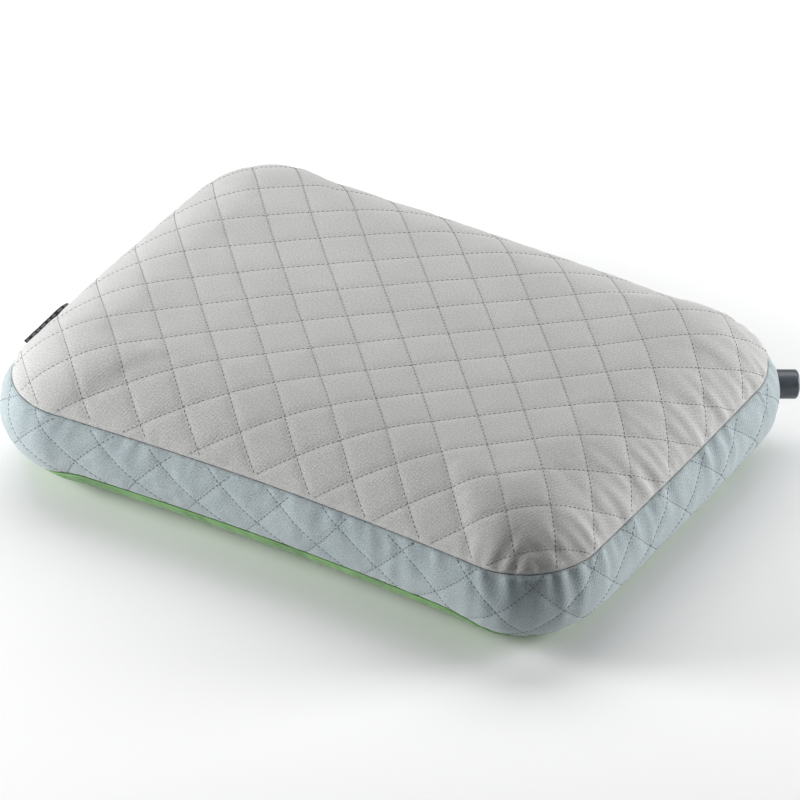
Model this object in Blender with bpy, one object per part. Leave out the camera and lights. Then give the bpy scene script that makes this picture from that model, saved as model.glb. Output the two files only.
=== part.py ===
"""A self-inflating camp pillow: foam core in a welded bladder with a twist valve, in a quilted cover
that closes with a zip. Metres, +Z up. The origin is the centre of the flat underside, +X runs along the
pillow towards the valve, -Y is the waisted front."""
import math

import bmesh
import bpy
from mathutils import Matrix, Vector

MM = 0.001  # every constant below is in millimetres or degrees

# ---- the pillow's outside -------------------------------------------------------------------------
HALF_LENGTH = 230.0
HALF_WIDTH = 172.5
CORNER_R = 65.0
EQUATOR_Z = 43.8  # height of the widest ring
SHOULDER_IN = 76.5  # how far the upper side rolls in
SHOULDER_UP = 55.8  # and how far it rises above the equator
UNDER_IN = 52.3  # how far the lower side rolls in down to the flat base
CROWN = 12.2  # the top panel's dome above the shoulder
WAIST_FRONT = 8.7  # how far the middle of the front is drawn in
SIDE_BULGE = 2.6  # how far the middle of each short side swells out
TOP_SEAM_LAT = 25.0  # latitude of the seam between top panel and side band
LOW_SEAM_LAT = 25.0  # latitude below the equator of the seam to the base panel, along the middle
LOW_SEAM_END_LAT = 52.0  # and round the two ends, where it is tucked under
DIP_FROM = 140.0  # distance from the middle at which the seam starts to dip
DIP_TO = 215.0  # and at which it is down

# ---- the layers, measured inward from the outside -------------------------------------------------
GAP = 0.3  # air between two pieces that touch
FACE_CLOTH = 1.2
WADDING = 2.4
CLOTH_IN = FACE_CLOTH
WAD_OUT = CLOTH_IN + GAP
WAD_IN = WAD_OUT + WADDING
SKIN = 0.8
SKIN_TOP = WAD_IN + 2 * GAP  # the upper skin's depth under the crown
SKIN_BASE = CLOTH_IN + 2 * GAP  # the lower skin's depth over the base panel
SKIN_SIDE = 12.0  # both skins' depth at the equator, where they are welded
RIM_DEPTH = 6.8  # outer edge of the welded rim
RIM_GAP = GAP / 2

# ---- the twist valve at the back right corner -----------------------------------------------------
VALVE_AT = 42.0  # direction round the corner, from +X
VALVE_DROOP = 7.5
VALVE_DEPTH = 10.0  # the valve's own origin, this far inside the outside
BOAT_HALF_W = 22.0
BOAT_FLAT_W = 7.0
BOAT_HALF_T = 4.6
BOAT_BACK = -5.0
BOAT_FRONT = 5.0
AIR_R = 3.5
NECK_R = 6.0
COLLAR_R = 7.5
CAP_R = COLLAR_R + 2.5
CAP_BACK = BOAT_FRONT + 1.0
CAP_END = 23.8
CAP_FRONT_WALL = 2.5
CAP_LIP = 1.5
CAP_CHAMFER = 1.6
CAP_RUN = 0.3  # radial running clearance of the cap on the collar
CAP_TRAVEL = 3.5  # how far the cap winds out
COLLAR_START = CAP_BACK + CAP_LIP + CAP_TRAVEL + GAP
RING_RUN = 0.1
RING_T = 1.1
RING_AT = COLLAR_START + 1.2
COLLAR_END = RING_AT + CAP_TRAVEL + 1.6
POST_R = 1.2
RIB_T = 1.0
RIB_START = 7.0
RIB_LONG = 5.0
RIB_STAGGER = 0.25  # the second rib ends this much inside the first, so that no two ends share a plane
PLUG_R = 4.6
PLUG_T = 2.0
HOLE_CLEAR = 1.0  # cloth hole round the cap

# ---- the zip along the back -----------------------------------------------------------------------
ZIP_HALF = 135.0
ZIP_WINDOW = 6.0  # half height of the opening in the band
TAPE_EDGE = 12.0  # tape's outer edge above and below the middle
TAPE_IN = 0.75  # tape's and coil's inner edge
TAPE_T = 0.6
COIL_H = 2.0
COIL_T = 1.2
COIL_SECTION = ((-1, 0.35), (-1, 0.65), (-0.6, 1), (0.6, 1), (1, 0.65), (1, 0.35), (0.6, 0), (-0.6, 0))
SLIDER_LONG = 8.0
SLIDER_HALF = 4.25
SLIDER_PLATE = 0.9
SLIDER_POST = 0.45
PIN_R = 0.55
PIN_OUT = 2.9
EYE_R = 1.25
EYE_RUN = 0.25
EYE_HALF = 1.5
CHEEK_T = 0.9
TAB_LONG = 22.0
TAB_WIDE = 7.0
TAB_T = 1.2
STOP_LONG = 3.0

# ---- the label in the top seam of the short side --------------------------------------------------
LABEL_FROM = -99.5
LABEL_TO = -48.5
LABEL_OUT = 3.2
LABEL_T = 2.2
LABEL_TILT = 12.0
LABEL_STRETCH = 1.045  # the seam is shorter than the widest ring by this much along the short side
LABEL_SECTION = (  # half of the fold's outline: share of the way out, share of the half thickness
    (0.0, 1.0),
    (0.82, 1.0),
    (0.95, 0.7),
    (1.0, 0.25),
)

# ---- how finely the soft shapes are drawn ---------------------------------------------------------
CORNER_STEPS = 7
FRONT_POINTS = 5
BACK_POINTS = 3
SIDE_POINTS = 1
ROUND = 32


def clear_scene():
    for o in list(bpy.data.objects):
        bpy.data.objects.remove(o, do_unlink=True)


def material(name, colour, roughness, metallic=0.0):
    m = bpy.data.materials.new(name)
    m.use_nodes = True
    shader = m.node_tree.nodes["Principled BSDF"]
    shader.inputs["Base Color"].default_value = (*colour, 1.0)
    shader.inputs["Roughness"].default_value = roughness
    shader.inputs["Metallic"].default_value = metallic
    return m


def finish(name, bm, mat, smooth=True):
    """One named object from a closed mesh in millimetres, with its faces turned outwards."""
    bmesh.ops.recalc_face_normals(bm, faces=bm.faces)
    bmesh.ops.scale(bm, vec=(MM, MM, MM), verts=bm.verts)
    for f in bm.faces:
        f.smooth = smooth
    for e in bm.edges:
        if len(e.link_faces) == 2 and e.calc_face_angle(0.0) > math.radians(35):
            e.smooth = False
    mesh = bpy.data.meshes.new(name)
    bm.to_mesh(mesh)
    bm.free()
    mesh.materials.append(mat)
    o = bpy.data.objects.new(name, mesh)
    bpy.context.scene.collection.objects.link(o)
    return o


def boolean(target, other, operation):
    mod = target.modifiers.new(operation.lower() + "_" + other.name, "BOOLEAN")
    mod.object = other
    mod.operation = operation
    mod.solver = "EXACT"
    other.hide_render = True
    other.display_type = "WIRE"


# ---- the outside as columns round the plan --------------------------------------------------------
def corner_angles(k):
    """The angles at which a corner is sampled. The valve's corner also follows the boat's taper."""
    if k:
        return [90.0 * i / CORNER_STEPS for i in range(CORNER_STEPS + 1)]
    r = CORNER_R - VALVE_DEPTH
    marks = [math.degrees(w / r) for w in boat_marks()]
    low = VALVE_AT - marks[-1]
    high = VALVE_AT + marks[-1]
    near = [VALVE_AT - m for m in reversed(marks)] + [VALVE_AT] + [VALVE_AT + m for m in marks]
    return [0.0, low / 2] + near + [(high + 90.0) / 2, 90.0]


def boat_marks():
    return [BOAT_FLAT_W, BOAT_HALF_W - 2.0, BOAT_HALF_W + 4.0]


def columns():
    """(plan point, outward normal) all round, anticlockwise from the end of the right side."""
    cx = HALF_LENGTH - CORNER_R
    cy = HALF_WIDTH - CORNER_R
    found = []
    sides = (BACK_POINTS, SIDE_POINTS, FRONT_POINTS, SIDE_POINTS)
    signs = ((1, 1), (-1, 1), (-1, -1), (1, -1))
    for k, (sx, sy) in enumerate(signs):
        for angle in corner_angles(k):
            a = math.radians(90.0 * k + angle)
            n = Vector((math.cos(a), math.sin(a)))
            found.append((Vector((sx * cx, sy * cy)) + n * CORNER_R, n))
        nx, ny = signs[(k + 1) % 4]
        start = found[-1][0]
        end = Vector((nx * cx, ny * cy)) + found[-1][1] * CORNER_R
        for i in range(sides[k]):
            found.append((start.lerp(end, (i + 1) / (sides[k] + 1)), found[-1][1]))
    return found


COLUMNS = []


def warp(x, y):
    """The front drawn in at its middle, the short sides swollen a little."""
    fx = max(0.0, 1.0 - (x / HALF_LENGTH) ** 2) ** 1.5
    fy = max(0.0, 1.0 - (y / HALF_WIDTH) ** 2) ** 1.5
    k = WAIST_FRONT if y < 0 else 0.0
    return x * (1.0 + SIDE_BULGE / HALF_LENGTH * fy), y * (1.0 - k / HALF_WIDTH * fx)


def at(column, depth, lat):
    """The point under the outside at this column, depth and latitude. Past 90 the latitude counts
    hundredths of the way to the pole, so 190 is the middle of the top and -190 that of the base."""
    point, n = column
    point = point - n * depth
    reach = point.dot(n)
    t = math.radians(min(90.0, abs(lat)))
    if lat >= 0:
        into = (SHOULDER_IN - depth) * (1.0 - math.cos(t))
        z = EQUATOR_Z + (SHOULDER_UP - depth) * math.sin(t)
    else:
        into = (UNDER_IN - depth) * (1.0 - math.cos(t))
        z = EQUATOR_Z - (EQUATOR_Z - depth) * math.sin(t)
    rho = (1.0 - into / reach) * (1.0 - max(0.0, abs(lat) - 90.0) / 100.0)
    x = point.x * rho
    y = point.y * rho
    if lat > 0:
        z += CROWN * (1.0 - (x / HALF_LENGTH) ** 2) * (1.0 - (y / HALF_WIDTH) ** 2)
    x, y = warp(x, y)
    return Vector((x, y, z))


def loft(name, rows, mat, closed=False):
    """A closed surface through rows of points. A row of one point is a pole. Each row carries its
    latitude, so that both faces of a wall and the wall next to it are split along the same diagonal."""
    bm = bmesh.new()
    built = [(lat, [bm.verts.new(p) for p in points]) for lat, points in rows]
    pairs = list(zip(built, built[1:]))
    if closed:
        pairs.append((built[-1], built[0]))
    for (lat_a, a), (lat_b, b) in pairs:
        if lat_a > lat_b:
            a, b = b, a
        n = max(len(a), len(b))
        for i in range(n):
            j = (i + 1) % n
            if len(a) == 1:
                bm.faces.new((a[0], b[j], b[i]))
            elif len(b) == 1:
                bm.faces.new((a[i], a[j], b[0]))
            else:
                bm.faces.new((a[i], a[j], b[j]))
                bm.faces.new((a[i], b[j], b[i]))
    return finish(name, bm, mat)


def ring(depth, lat):
    """One row. depth and lat are numbers or functions of the column's index."""
    points = []
    for i, c in enumerate(COLUMNS):
        d = depth(i) if callable(depth) else depth
        l = lat(i) if callable(lat) else lat
        points.append(at(c, d, l))
    middle = lat(0) if callable(lat) else lat
    return middle, points


def pole(depth, lat):
    return lat, [at(COLUMNS[0], depth, lat)]


def low_lat(i):
    """The lower seam's latitude at this column: it dips smoothly towards the two ends."""
    share = (abs(COLUMNS[i][0].x) - DIP_FROM) / (DIP_TO - DIP_FROM)
    share = min(1.0, max(0.0, share))
    share = share * share * (3.0 - 2.0 * share)
    return -(LOW_SEAM_LAT + (LOW_SEAM_END_LAT - LOW_SEAM_LAT) * share)


def seam_gap(depth):
    """Half of GAP as degrees of latitude."""
    return math.degrees(0.5 * GAP / (SHOULDER_UP - depth))


TOP_LATS = (35.0, 47.0, 60.0, 74.0, 90.0, 112.0, 138.0, 165.0)
BASE_LATS = (0.45, 0.72, 1.0)


def top_sheet(name, outer, inner, mat):
    edge = TOP_SEAM_LAT + seam_gap(inner)
    rows = [pole(outer, 190.0)]
    rows += [ring(outer, l) for l in reversed(TOP_LATS)]
    rows += [ring(outer, edge), ring(inner, edge)]
    rows += [ring(inner, l) for l in TOP_LATS]
    rows += [pole(inner, 190.0)]
    return loft(name, rows, mat)


def band_lats(depth):
    """The band's rows from its lower seam to its upper, as functions of the column."""
    g = seam_gap(depth)
    rows = [lambda i, f=f: (low_lat(i) + g) * f for f in (1.0, 0.66, 0.33)]
    rows += [lambda i, f=f: (TOP_SEAM_LAT - g) * f for f in (0.0, 0.34, 0.67, 1.0)]
    return rows


def band_sheet(name, outer, inner, mat):
    lats = band_lats(inner)
    rows = [ring(outer, l) for l in lats]
    rows += [ring(inner, l) for l in reversed(lats)]
    return loft(name, rows, mat, closed=True)


def base_sheet(name, outer, inner, mat):
    def edge(i):
        return low_lat(i) - seam_gap(inner)

    def between(f):
        return lambda i: edge(i) + (-90.0 - edge(i)) * f

    rows = [pole(outer, -190.0), ring(outer, -150.0), ring(outer, -115.0)]
    rows += [ring(outer, between(f)) for f in reversed(BASE_LATS)]
    rows += [ring(outer, edge), ring(inner, edge)]
    rows += [ring(inner, between(f)) for f in BASE_LATS]
    rows += [ring(inner, -115.0), ring(inner, -150.0), pole(inner, -190.0)]
    return loft(name, rows, mat)


def core_depth(lat, extra=0.0):
    """How deep the bladder's outside lies: close under the cloth above and below, and well inside it
    at the equator, where the two skins meet in a flat welded rim."""
    c = math.cos(math.radians(min(90.0, abs(lat)))) ** 2
    top = SKIN_TOP if lat >= 0 else SKIN_BASE
    return top + (SKIN_SIDE - top) * c + extra


def boat_half(w):
    """The boat's half thickness this far along it."""
    if w <= BOAT_FLAT_W:
        return BOAT_HALF_T
    return BOAT_HALF_T + (GAP - BOAT_HALF_T) * min(1.0, (w - BOAT_FLAT_W) / (BOAT_HALF_W - BOAT_FLAT_W))


def rim_lift(i):
    """How far each skin stands off the weld line, to pass over the valve's boat."""
    p, n = COLUMNS[i]
    if p.x < HALF_LENGTH - CORNER_R or p.y < HALF_WIDTH - CORNER_R:
        return RIM_GAP
    turn = math.degrees(math.atan2(n.y, n.x)) - VALVE_AT
    w = abs(math.radians(turn)) * (CORNER_R - VALVE_DEPTH)
    if w > BOAT_HALF_W + 2.0:
        return RIM_GAP
    return boat_half(max(0.0, w - 2.0) if w > BOAT_FLAT_W + 1.0 else w) + GAP


def rim_row(depth, side, rise):
    """One row of a skin's flat rim: side is 1 above the weld line and -1 below it."""
    points = []
    for i, c in enumerate(COLUMNS):
        p = at(c, depth, 0.0)
        p.z = EQUATOR_Z + side * (rim_lift(i) + rise)
        points.append(p)
    return 0.0, points


SKIN_LATS = (12.0, 28.0, 47.0, 68.0, 90.0, 125.0, 160.0)


def bladder_skin(name, side, mat):
    lats = [side * l for l in SKIN_LATS]
    outer_pole = pole(core_depth(90.0 * side), 190.0 * side)
    inner_pole = pole(core_depth(90.0 * side, SKIN), 190.0 * side)
    rows = [outer_pole]
    rows += [ring(core_depth(l), l) for l in reversed(lats)]
    rows += [rim_row(SKIN_SIDE + 0.3, side, SKIN), rim_row(RIM_DEPTH, side, SKIN)]
    rows += [rim_row(RIM_DEPTH, side, 0.0), rim_row(SKIN_SIDE + 0.3 + SKIN, side, 0.0)]
    rows += [ring(core_depth(l, SKIN), l) for l in lats]
    rows += [inner_pole]
    return loft(name, rows, mat)


def foam(name, mat):
    extra = SKIN + GAP
    up = [l for l in SKIN_LATS]
    rows = [pole(core_depth(90.0, extra), 190.0)]
    rows += [ring(core_depth(l, extra), l) for l in reversed(up)]
    rows += [ring(core_depth(0.0, extra + 0.5), 0.0)]
    rows += [ring(core_depth(-l, extra), -l) for l in up]
    rows += [pole(core_depth(-90.0, extra), -190.0)]
    return loft(name, rows, mat)


# ---- turned pieces and blocks ---------------------------------------------------------------------
def turned(name, profile, place, mat, segments=ROUND):
    """A closed profile of (along, radius) points turned round the valve's axis."""
    bm = bmesh.new()
    rows = []
    for t, r in profile:
        if r == 0:
            rows.append([bm.verts.new(place @ Vector((t, 0.0, 0.0)))])
            continue
        row = []
        for k in range(segments):
            a = 2.0 * math.pi * k / segments
            row.append(bm.verts.new(place @ Vector((t, r * math.cos(a), r * math.sin(a)))))
        rows.append(row)
    closed = profile[0][1] > 0
    pairs = list(zip(rows, rows[1:]))
    if closed:
        pairs.append((rows[-1], rows[0]))
    for a, b in pairs:
        for k in range(segments):
            j = (k + 1) % segments
            if len(a) == 1:
                bm.faces.new((a[0], b[k], b[j]))
            elif len(b) == 1:
                bm.faces.new((a[k], a[j], b[0]))
            else:
                bm.faces.new((a[k], a[j], b[j], b[k]))
    return finish(name, bm, mat)


def hull(name, points, place, mat):
    bm = bmesh.new()
    for p in points:
        bm.verts.new(place @ Vector(p))
    found = bmesh.ops.convex_hull(bm, input=bm.verts)
    spare = [g for g in found["geom_interior"] if isinstance(g, bmesh.types.BMVert)]
    bmesh.ops.delete(bm, geom=spare, context="VERTS")
    return finish(name, bm, mat, smooth=False)


def block(name, low, high, mat, place=Matrix.Identity(4)):
    corners = [(x, y, z) for x in (low[0], high[0]) for y in (low[1], high[1]) for z in (low[2], high[2])]
    return hull(name, corners, place, mat)


def prism(name, outline, x0, x1, mat, offset=Vector((0.0, 0.0, 0.0))):
    """A closed (y, z) outline carried from x0 to x1."""
    bm = bmesh.new()
    a = [bm.verts.new(Vector((x0, y, z)) + offset) for y, z in outline]
    b = [bm.verts.new(Vector((x1, y, z)) + offset) for y, z in outline]
    n = len(outline)
    for i in range(n):
        j = (i + 1) % n
        bm.faces.new((a[i], a[j], b[j], b[i]))
    bm.faces.new(a)
    bm.faces.new(list(reversed(b)))
    bmesh.ops.triangulate(bm, faces=[f for f in bm.faces if len(f.verts) > 4])
    return finish(name, bm, mat, smooth=False)


# ---- the back wall, where the zip is --------------------------------------------------------------
def wall_rows(depth):
    """(height, y) of the band's rows on the back wall, at this depth."""
    back = (Vector((0.0, HALF_WIDTH)), Vector((0.0, 1.0)))
    i = min(range(len(COLUMNS)), key=lambda k: (COLUMNS[k][0] - back[0]).length)
    found = []
    for lat in band_lats(CLOTH_IN):
        p = at(back, depth, lat(i))
        found.append((p.z, p.y))
    return found


def wall_y(depth, z):
    rows = wall_rows(depth)
    for (z0, y0), (z1, y1) in zip(rows, rows[1:]):
        if z0 <= z <= z1:
            return y0 + (y1 - y0) * (z - z0) / (z1 - z0)
    raise ValueError("the zip reaches past the band")


def tape_outline(side):
    """The cross-section of a tape that follows the inside of the band."""
    inner = EQUATOR_Z + side * TAPE_IN
    outer = EQUATOR_Z + side * TAPE_EDGE
    low, high = min(inner, outer), max(inner, outer)
    heights = [low] + [z for z, _ in wall_rows(WAD_OUT) if low + 0.2 < z < high - 0.2] + [high]
    face = [(wall_y(WAD_OUT, z), z) for z in heights]
    back = [(y - TAPE_T, z) for y, z in reversed(face)]
    return face + back


def build():
    clear_scene()
    COLUMNS.extend(columns())

    grey = material("brushed_face_cloth", (0.47, 0.47, 0.46), 0.9)
    cool = material("band_face_cloth", (0.36, 0.41, 0.43), 0.9)
    green = material("base_cloth", (0.16, 0.30, 0.13), 0.85)
    batting = material("wadding", (0.85, 0.85, 0.83), 0.95)
    film = material("coated_skin", (0.30, 0.33, 0.36), 0.5)
    pu_foam = material("foam", (0.88, 0.85, 0.72), 0.95)
    black = material("moulded_valve", (0.012, 0.013, 0.015), 0.35)
    seal = material("valve_rubber", (0.02, 0.02, 0.02), 0.6)
    woven = material("label_weave", (0.015, 0.015, 0.016), 0.8)
    tape = material("zip_tape", (0.05, 0.055, 0.06), 0.85)
    coil = material("zip_coil", (0.04, 0.04, 0.045), 0.5)
    metal = material("zip_metal", (0.35, 0.35, 0.36), 0.35, 1.0)

    # the cover and its wadding
    top = top_sheet("cover_top_panel", 0.0, CLOTH_IN, grey)
    top_wad = top_sheet("top_wadding", WAD_OUT, WAD_IN, batting)
    band = band_sheet("cover_side_band", 0.0, CLOTH_IN, cool)
    band_wad = band_sheet("band_wadding", WAD_OUT, WAD_IN, batting)
    base = base_sheet("cover_base_panel", 0.0, CLOTH_IN, green)

    # the bladder and the foam
    bladder_skin("bladder_upper_skin", 1, film)
    bladder_skin("bladder_lower_skin", -1, film)
    core = foam("foam_core", pu_foam)

    # the valve's own frame: x along its axis, y round the corner, z up
    a = math.radians(VALVE_AT)
    n = Vector((math.cos(a), math.sin(a)))
    centre = Vector((HALF_LENGTH - CORNER_R, HALF_WIDTH - CORNER_R))
    origin = at((centre + n * CORNER_R, n), VALVE_DEPTH, 0.0)
    level = Matrix.Translation(origin) @ Matrix.Rotation(a, 4, "Z")
    droop = level @ Matrix.Rotation(math.radians(VALVE_DROOP), 4, "Y")

    boat_points = []
    for w, half, back, front in (
        (BOAT_FLAT_W, BOAT_HALF_T, BOAT_BACK, BOAT_FRONT),
        (BOAT_HALF_W, GAP, BOAT_BACK + 2.0, BOAT_FRONT - 4.6),
    ):
        boat_points += [(t, s * w, v) for t in (back, front) for s in (1, -1) for v in (half, -half)]
    valve = hull("valve_body", boat_points, level, black)
    stem_profile = [
        (BOAT_FRONT - 0.6, AIR_R + 0.8),
        (BOAT_FRONT - 0.2, NECK_R - 0.5),
        (BOAT_FRONT + 0.3, NECK_R),
        (COLLAR_START, NECK_R),
        (COLLAR_START, COLLAR_R),
        (COLLAR_END, COLLAR_R),
        (COLLAR_END, 0.0),
    ]
    stem_profile = [(BOAT_FRONT - 0.6, 0.0)] + stem_profile
    stem = turned("stem_outside", stem_profile, droop, black)
    bore_profile = [(BOAT_BACK - 3.0, 0.0), (BOAT_BACK - 3.0, AIR_R), (COLLAR_END + 1.0, AIR_R)]
    bore_profile.append((COLLAR_END + 1.0, 0.0))
    bore = turned("air_way", bore_profile, droop, black, 24)
    boolean(valve, stem, "UNION")
    boolean(valve, bore, "DIFFERENCE")
    rib_end = RIB_START + RIB_LONG
    rib_reach = AIR_R + 0.6
    half = RIB_T / 2
    rib_a = block("rib_a", (RIB_START, -rib_reach, -half), (rib_end, rib_reach, half), black, droop)
    b0 = RIB_START + RIB_STAGGER
    b1 = rib_end - RIB_STAGGER
    rib_b = block("rib_b", (b0, -half, -rib_reach), (b1, half, rib_reach), black, droop)
    inner_face = CAP_END - CAP_FRONT_WALL
    plug_front = inner_face - GAP
    plug_back = plug_front - PLUG_T
    post_end = plug_back + 1.0
    post_start = RIB_START - RIB_T
    post_profile = [(post_start, 0.0), (post_start, POST_R), (post_end, POST_R), (post_end, 0.0)]
    post = turned("plug_post", post_profile, droop, black, 16)
    boolean(valve, rib_a, "UNION")
    boolean(valve, rib_b, "UNION")
    boolean(valve, post, "UNION")

    mouth_r = AIR_R
    socket = POST_R + GAP
    plug_seal(plug_back, plug_front, post_end + GAP, socket, mouth_r, droop, seal)

    bore_r = COLLAR_R + CAP_RUN
    groove_r = COLLAR_R + RING_RUN + RING_T + RING_RUN
    groove_half = RING_T / 2 + RING_RUN + 0.05
    lip_r = NECK_R + CAP_RUN
    turned(
        "valve_cap",
        [
            (CAP_BACK, lip_r),
            (CAP_BACK, CAP_R - 0.4),
            (CAP_BACK + 0.4, CAP_R),
            (CAP_END - CAP_CHAMFER, CAP_R),
            (CAP_END - CAP_CHAMFER * 0.3, CAP_R - CAP_CHAMFER * 0.3),
            (CAP_END, CAP_R - CAP_CHAMFER),
            (CAP_END, mouth_r),
            (inner_face, mouth_r),
            (inner_face, bore_r),
            (RING_AT + groove_half, bore_r),
            (RING_AT + groove_half, groove_r),
            (RING_AT - groove_half, groove_r),
            (RING_AT - groove_half, bore_r),
            (CAP_BACK + CAP_LIP, bore_r),
            (CAP_BACK + CAP_LIP, lip_r),
        ],
        droop,
        black,
    )
    ring_mid = COLLAR_R + RING_RUN + RING_T / 2
    ring_profile = []
    for k in range(8):
        b = 2.0 * math.pi * (k + 0.5) / 8
        s = RING_T / 2 / math.cos(math.pi / 8)
        ring_profile.append((RING_AT + s * math.cos(b), ring_mid + s * math.sin(b)))
    turned("valve_o_ring", ring_profile, droop, seal)

    # the holes that the valve needs
    hole_r = CAP_R + HOLE_CLEAR
    hole_profile = [(-1.0, 0.0), (-1.0, hole_r), (CAP_END, hole_r), (CAP_END, 0.0)]
    hole = turned("valve_hole", hole_profile, droop, black)
    boolean(band, hole, "DIFFERENCE")
    boolean(band_wad, hole, "DIFFERENCE")
    room = block(
        "boat_room",
        (BOAT_BACK - 1.0, -BOAT_HALF_W - 2.0, -BOAT_HALF_T - 1.0),
        (BOAT_FRONT, BOAT_HALF_W + 2.0, BOAT_HALF_T + 1.0),
        black,
        level,
    )
    boolean(core, room, "DIFFERENCE")

    # the zip
    z0 = EQUATOR_Z
    y_back = HALF_WIDTH
    window = block(
        "zip_window",
        (-ZIP_HALF - STOP_LONG - 2.0, y_back - 12.0, z0 - ZIP_WINDOW),
        (ZIP_HALF + STOP_LONG + 2.0, y_back + 5.0, z0 + ZIP_WINDOW),
        tape,
    )
    boolean(band, window, "DIFFERENCE")
    recess = block(
        "tape_recess",
        (-ZIP_HALF - STOP_LONG - 6.0, y_back - 14.0, z0 - TAPE_EDGE - 1.5),
        (ZIP_HALF + STOP_LONG + 6.0, y_back + 5.0, z0 + TAPE_EDGE + 1.5),
        tape,
    )
    boolean(band_wad, recess, "DIFFERENCE")
    tape_half = ZIP_HALF + STOP_LONG + 1.0
    for word, side in (("upper", 1), ("lower", -1)):
        prism("zip_tape_" + word, tape_outline(side), -tape_half, tape_half, tape)
        near = z0 + side * TAPE_IN
        far = z0 + side * (TAPE_IN + COIL_H)
        mid = (near + far) / 2
        reach = COIL_H / 2
        section = []
        for u, v in COIL_SECTION:
            section.append((y_back - COIL_T + COIL_T * v, mid + reach * u))
        prism("zip_coil_" + word, section, -ZIP_HALF, ZIP_HALF, coil)
    stop_half = TAPE_IN + COIL_H + 0.4
    block(
        "zip_bottom_stop",
        (-ZIP_HALF - GAP - STOP_LONG, y_back - COIL_T, z0 - stop_half),
        (-ZIP_HALF - GAP, y_back + 0.4, z0 + stop_half),
        metal,
    )
    for word, side in (("upper", 1), ("lower", -1)):
        zs = sorted((z0 + side * TAPE_IN, z0 + side * stop_half))
        block(
            "zip_top_stop_" + word,
            (ZIP_HALF + GAP, y_back - COIL_T, zs[0]),
            (ZIP_HALF + GAP + STOP_LONG, y_back + 0.4, zs[1]),
            metal,
        )

    # the slider waits at the closed end, its pull tab lying back along the zip
    sx = ZIP_HALF - SLIDER_LONG / 2 - GAP
    out0 = y_back + GAP
    out1 = out0 + SLIDER_PLATE
    under1 = y_back - WAD_OUT - TAPE_T - 2 * GAP
    under0 = under1 - SLIDER_PLATE
    half = SLIDER_LONG / 2
    z_low = z0 - SLIDER_HALF
    z_high = z0 + SLIDER_HALF
    slider = block("zip_slider", (sx - half, out0, z_low), (sx + half, out1, z_high), metal)
    low = block("slider_back", (sx - half, under0, z_low), (sx + half, under1, z_high), metal)
    post = block(
        "slider_post",
        (sx + half - 2.0, under0 + 0.3, z0 - SLIDER_POST),
        (sx + half - 0.2, out1 - 0.3, z0 + SLIDER_POST),
        metal,
    )
    pin_y = y_back + PIN_OUT
    cheek_in = EYE_HALF + GAP
    cheek_out = cheek_in + CHEEK_T
    boolean(slider, post, "UNION")
    boolean(slider, low, "UNION")
    for word, side in (("a", 1), ("b", -1)):
        zs = sorted((z0 + side * cheek_in, z0 + side * cheek_out))
        cheek = block(
            "slider_cheek_" + word, (sx - 0.9, out1 - 0.3, zs[0]), (sx + 0.9, pin_y + 0.9, zs[1]), metal
        )
        boolean(slider, cheek, "UNION")
    pin_place = Matrix.Translation((sx, pin_y, z0)) @ Matrix.Rotation(math.radians(-90), 4, "Y")
    reach = cheek_in + 0.4
    pin = turned(
        "slider_pin", [(-reach, 0.0), (-reach, PIN_R), (reach, PIN_R), (reach, 0.0)], pin_place, metal, 16
    )
    boolean(slider, pin, "UNION")

    eye = turned(
        "zip_pull_tab",
        [(-EYE_HALF, PIN_R + EYE_RUN), (-EYE_HALF, EYE_R), (EYE_HALF, EYE_R), (EYE_HALF, PIN_R + EYE_RUN)],
        pin_place,
        metal,
        16,
    )
    ty0 = pin_y - TAB_T / 2
    ty1 = pin_y + TAB_T / 2
    arm_half = EYE_HALF - 0.1
    arm_end = sx - PIN_R - EYE_RUN - 0.15
    arm = block("tab_arm", (sx - 7.0, ty0, z0 - arm_half), (arm_end, ty1, z0 + arm_half), metal)
    x_tip = sx - TAB_LONG
    wide = TAB_WIDE / 2
    tab_points = []
    for x, h in ((sx - 5.5, wide - 1.5), (sx - 7.0, wide), (x_tip + 2.0, wide), (x_tip, wide - 2.0)):
        tab_points += [(x, y, z0 + s * h) for y in (ty0, ty1) for s in (1, -1)]
    tab = hull("tab_plate", tab_points, Matrix.Identity(4), metal)
    boolean(eye, arm, "UNION")
    boolean(eye, tab, "UNION")

    # the label, folded double and sewn into the top seam of the short side
    tilt = math.radians(LABEL_TILT)
    along = 6
    bm = bmesh.new()
    rows = []
    side_n = Vector((-1.0, 0.0))
    section = list(LABEL_SECTION) + [(u, -v) for u, v in reversed(LABEL_SECTION)]
    for k in range(along + 1):
        y = LABEL_FROM + (LABEL_TO - LABEL_FROM) * k / along
        foot = at((Vector((-HALF_LENGTH, y * LABEL_STRETCH)), side_n), 0.0, TOP_SEAM_LAT)
        out = Vector((-math.cos(tilt), 0.0, math.sin(tilt)))
        up = Vector((math.sin(tilt), 0.0, math.cos(tilt)))
        row = []
        lift = LABEL_T / 2
        start = GAP + LABEL_T * 0.45
        for u, v in section:
            p = foot + out * (start + (LABEL_OUT - start) * u) + up * (v * lift)
            row.append(bm.verts.new(p))
        rows.append(row)
    for p, q in zip(rows, rows[1:]):
        for i in range(len(p)):
            j = (i + 1) % len(p)
            bm.faces.new((p[i], p[j], q[j], q[i]))
    bm.faces.new(rows[0])
    bm.faces.new(list(reversed(rows[-1])))
    bmesh.ops.triangulate(bm, faces=[f for f in bm.faces if len(f.verts) > 4])
    finish("label", bm, woven, smooth=True)


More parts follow.
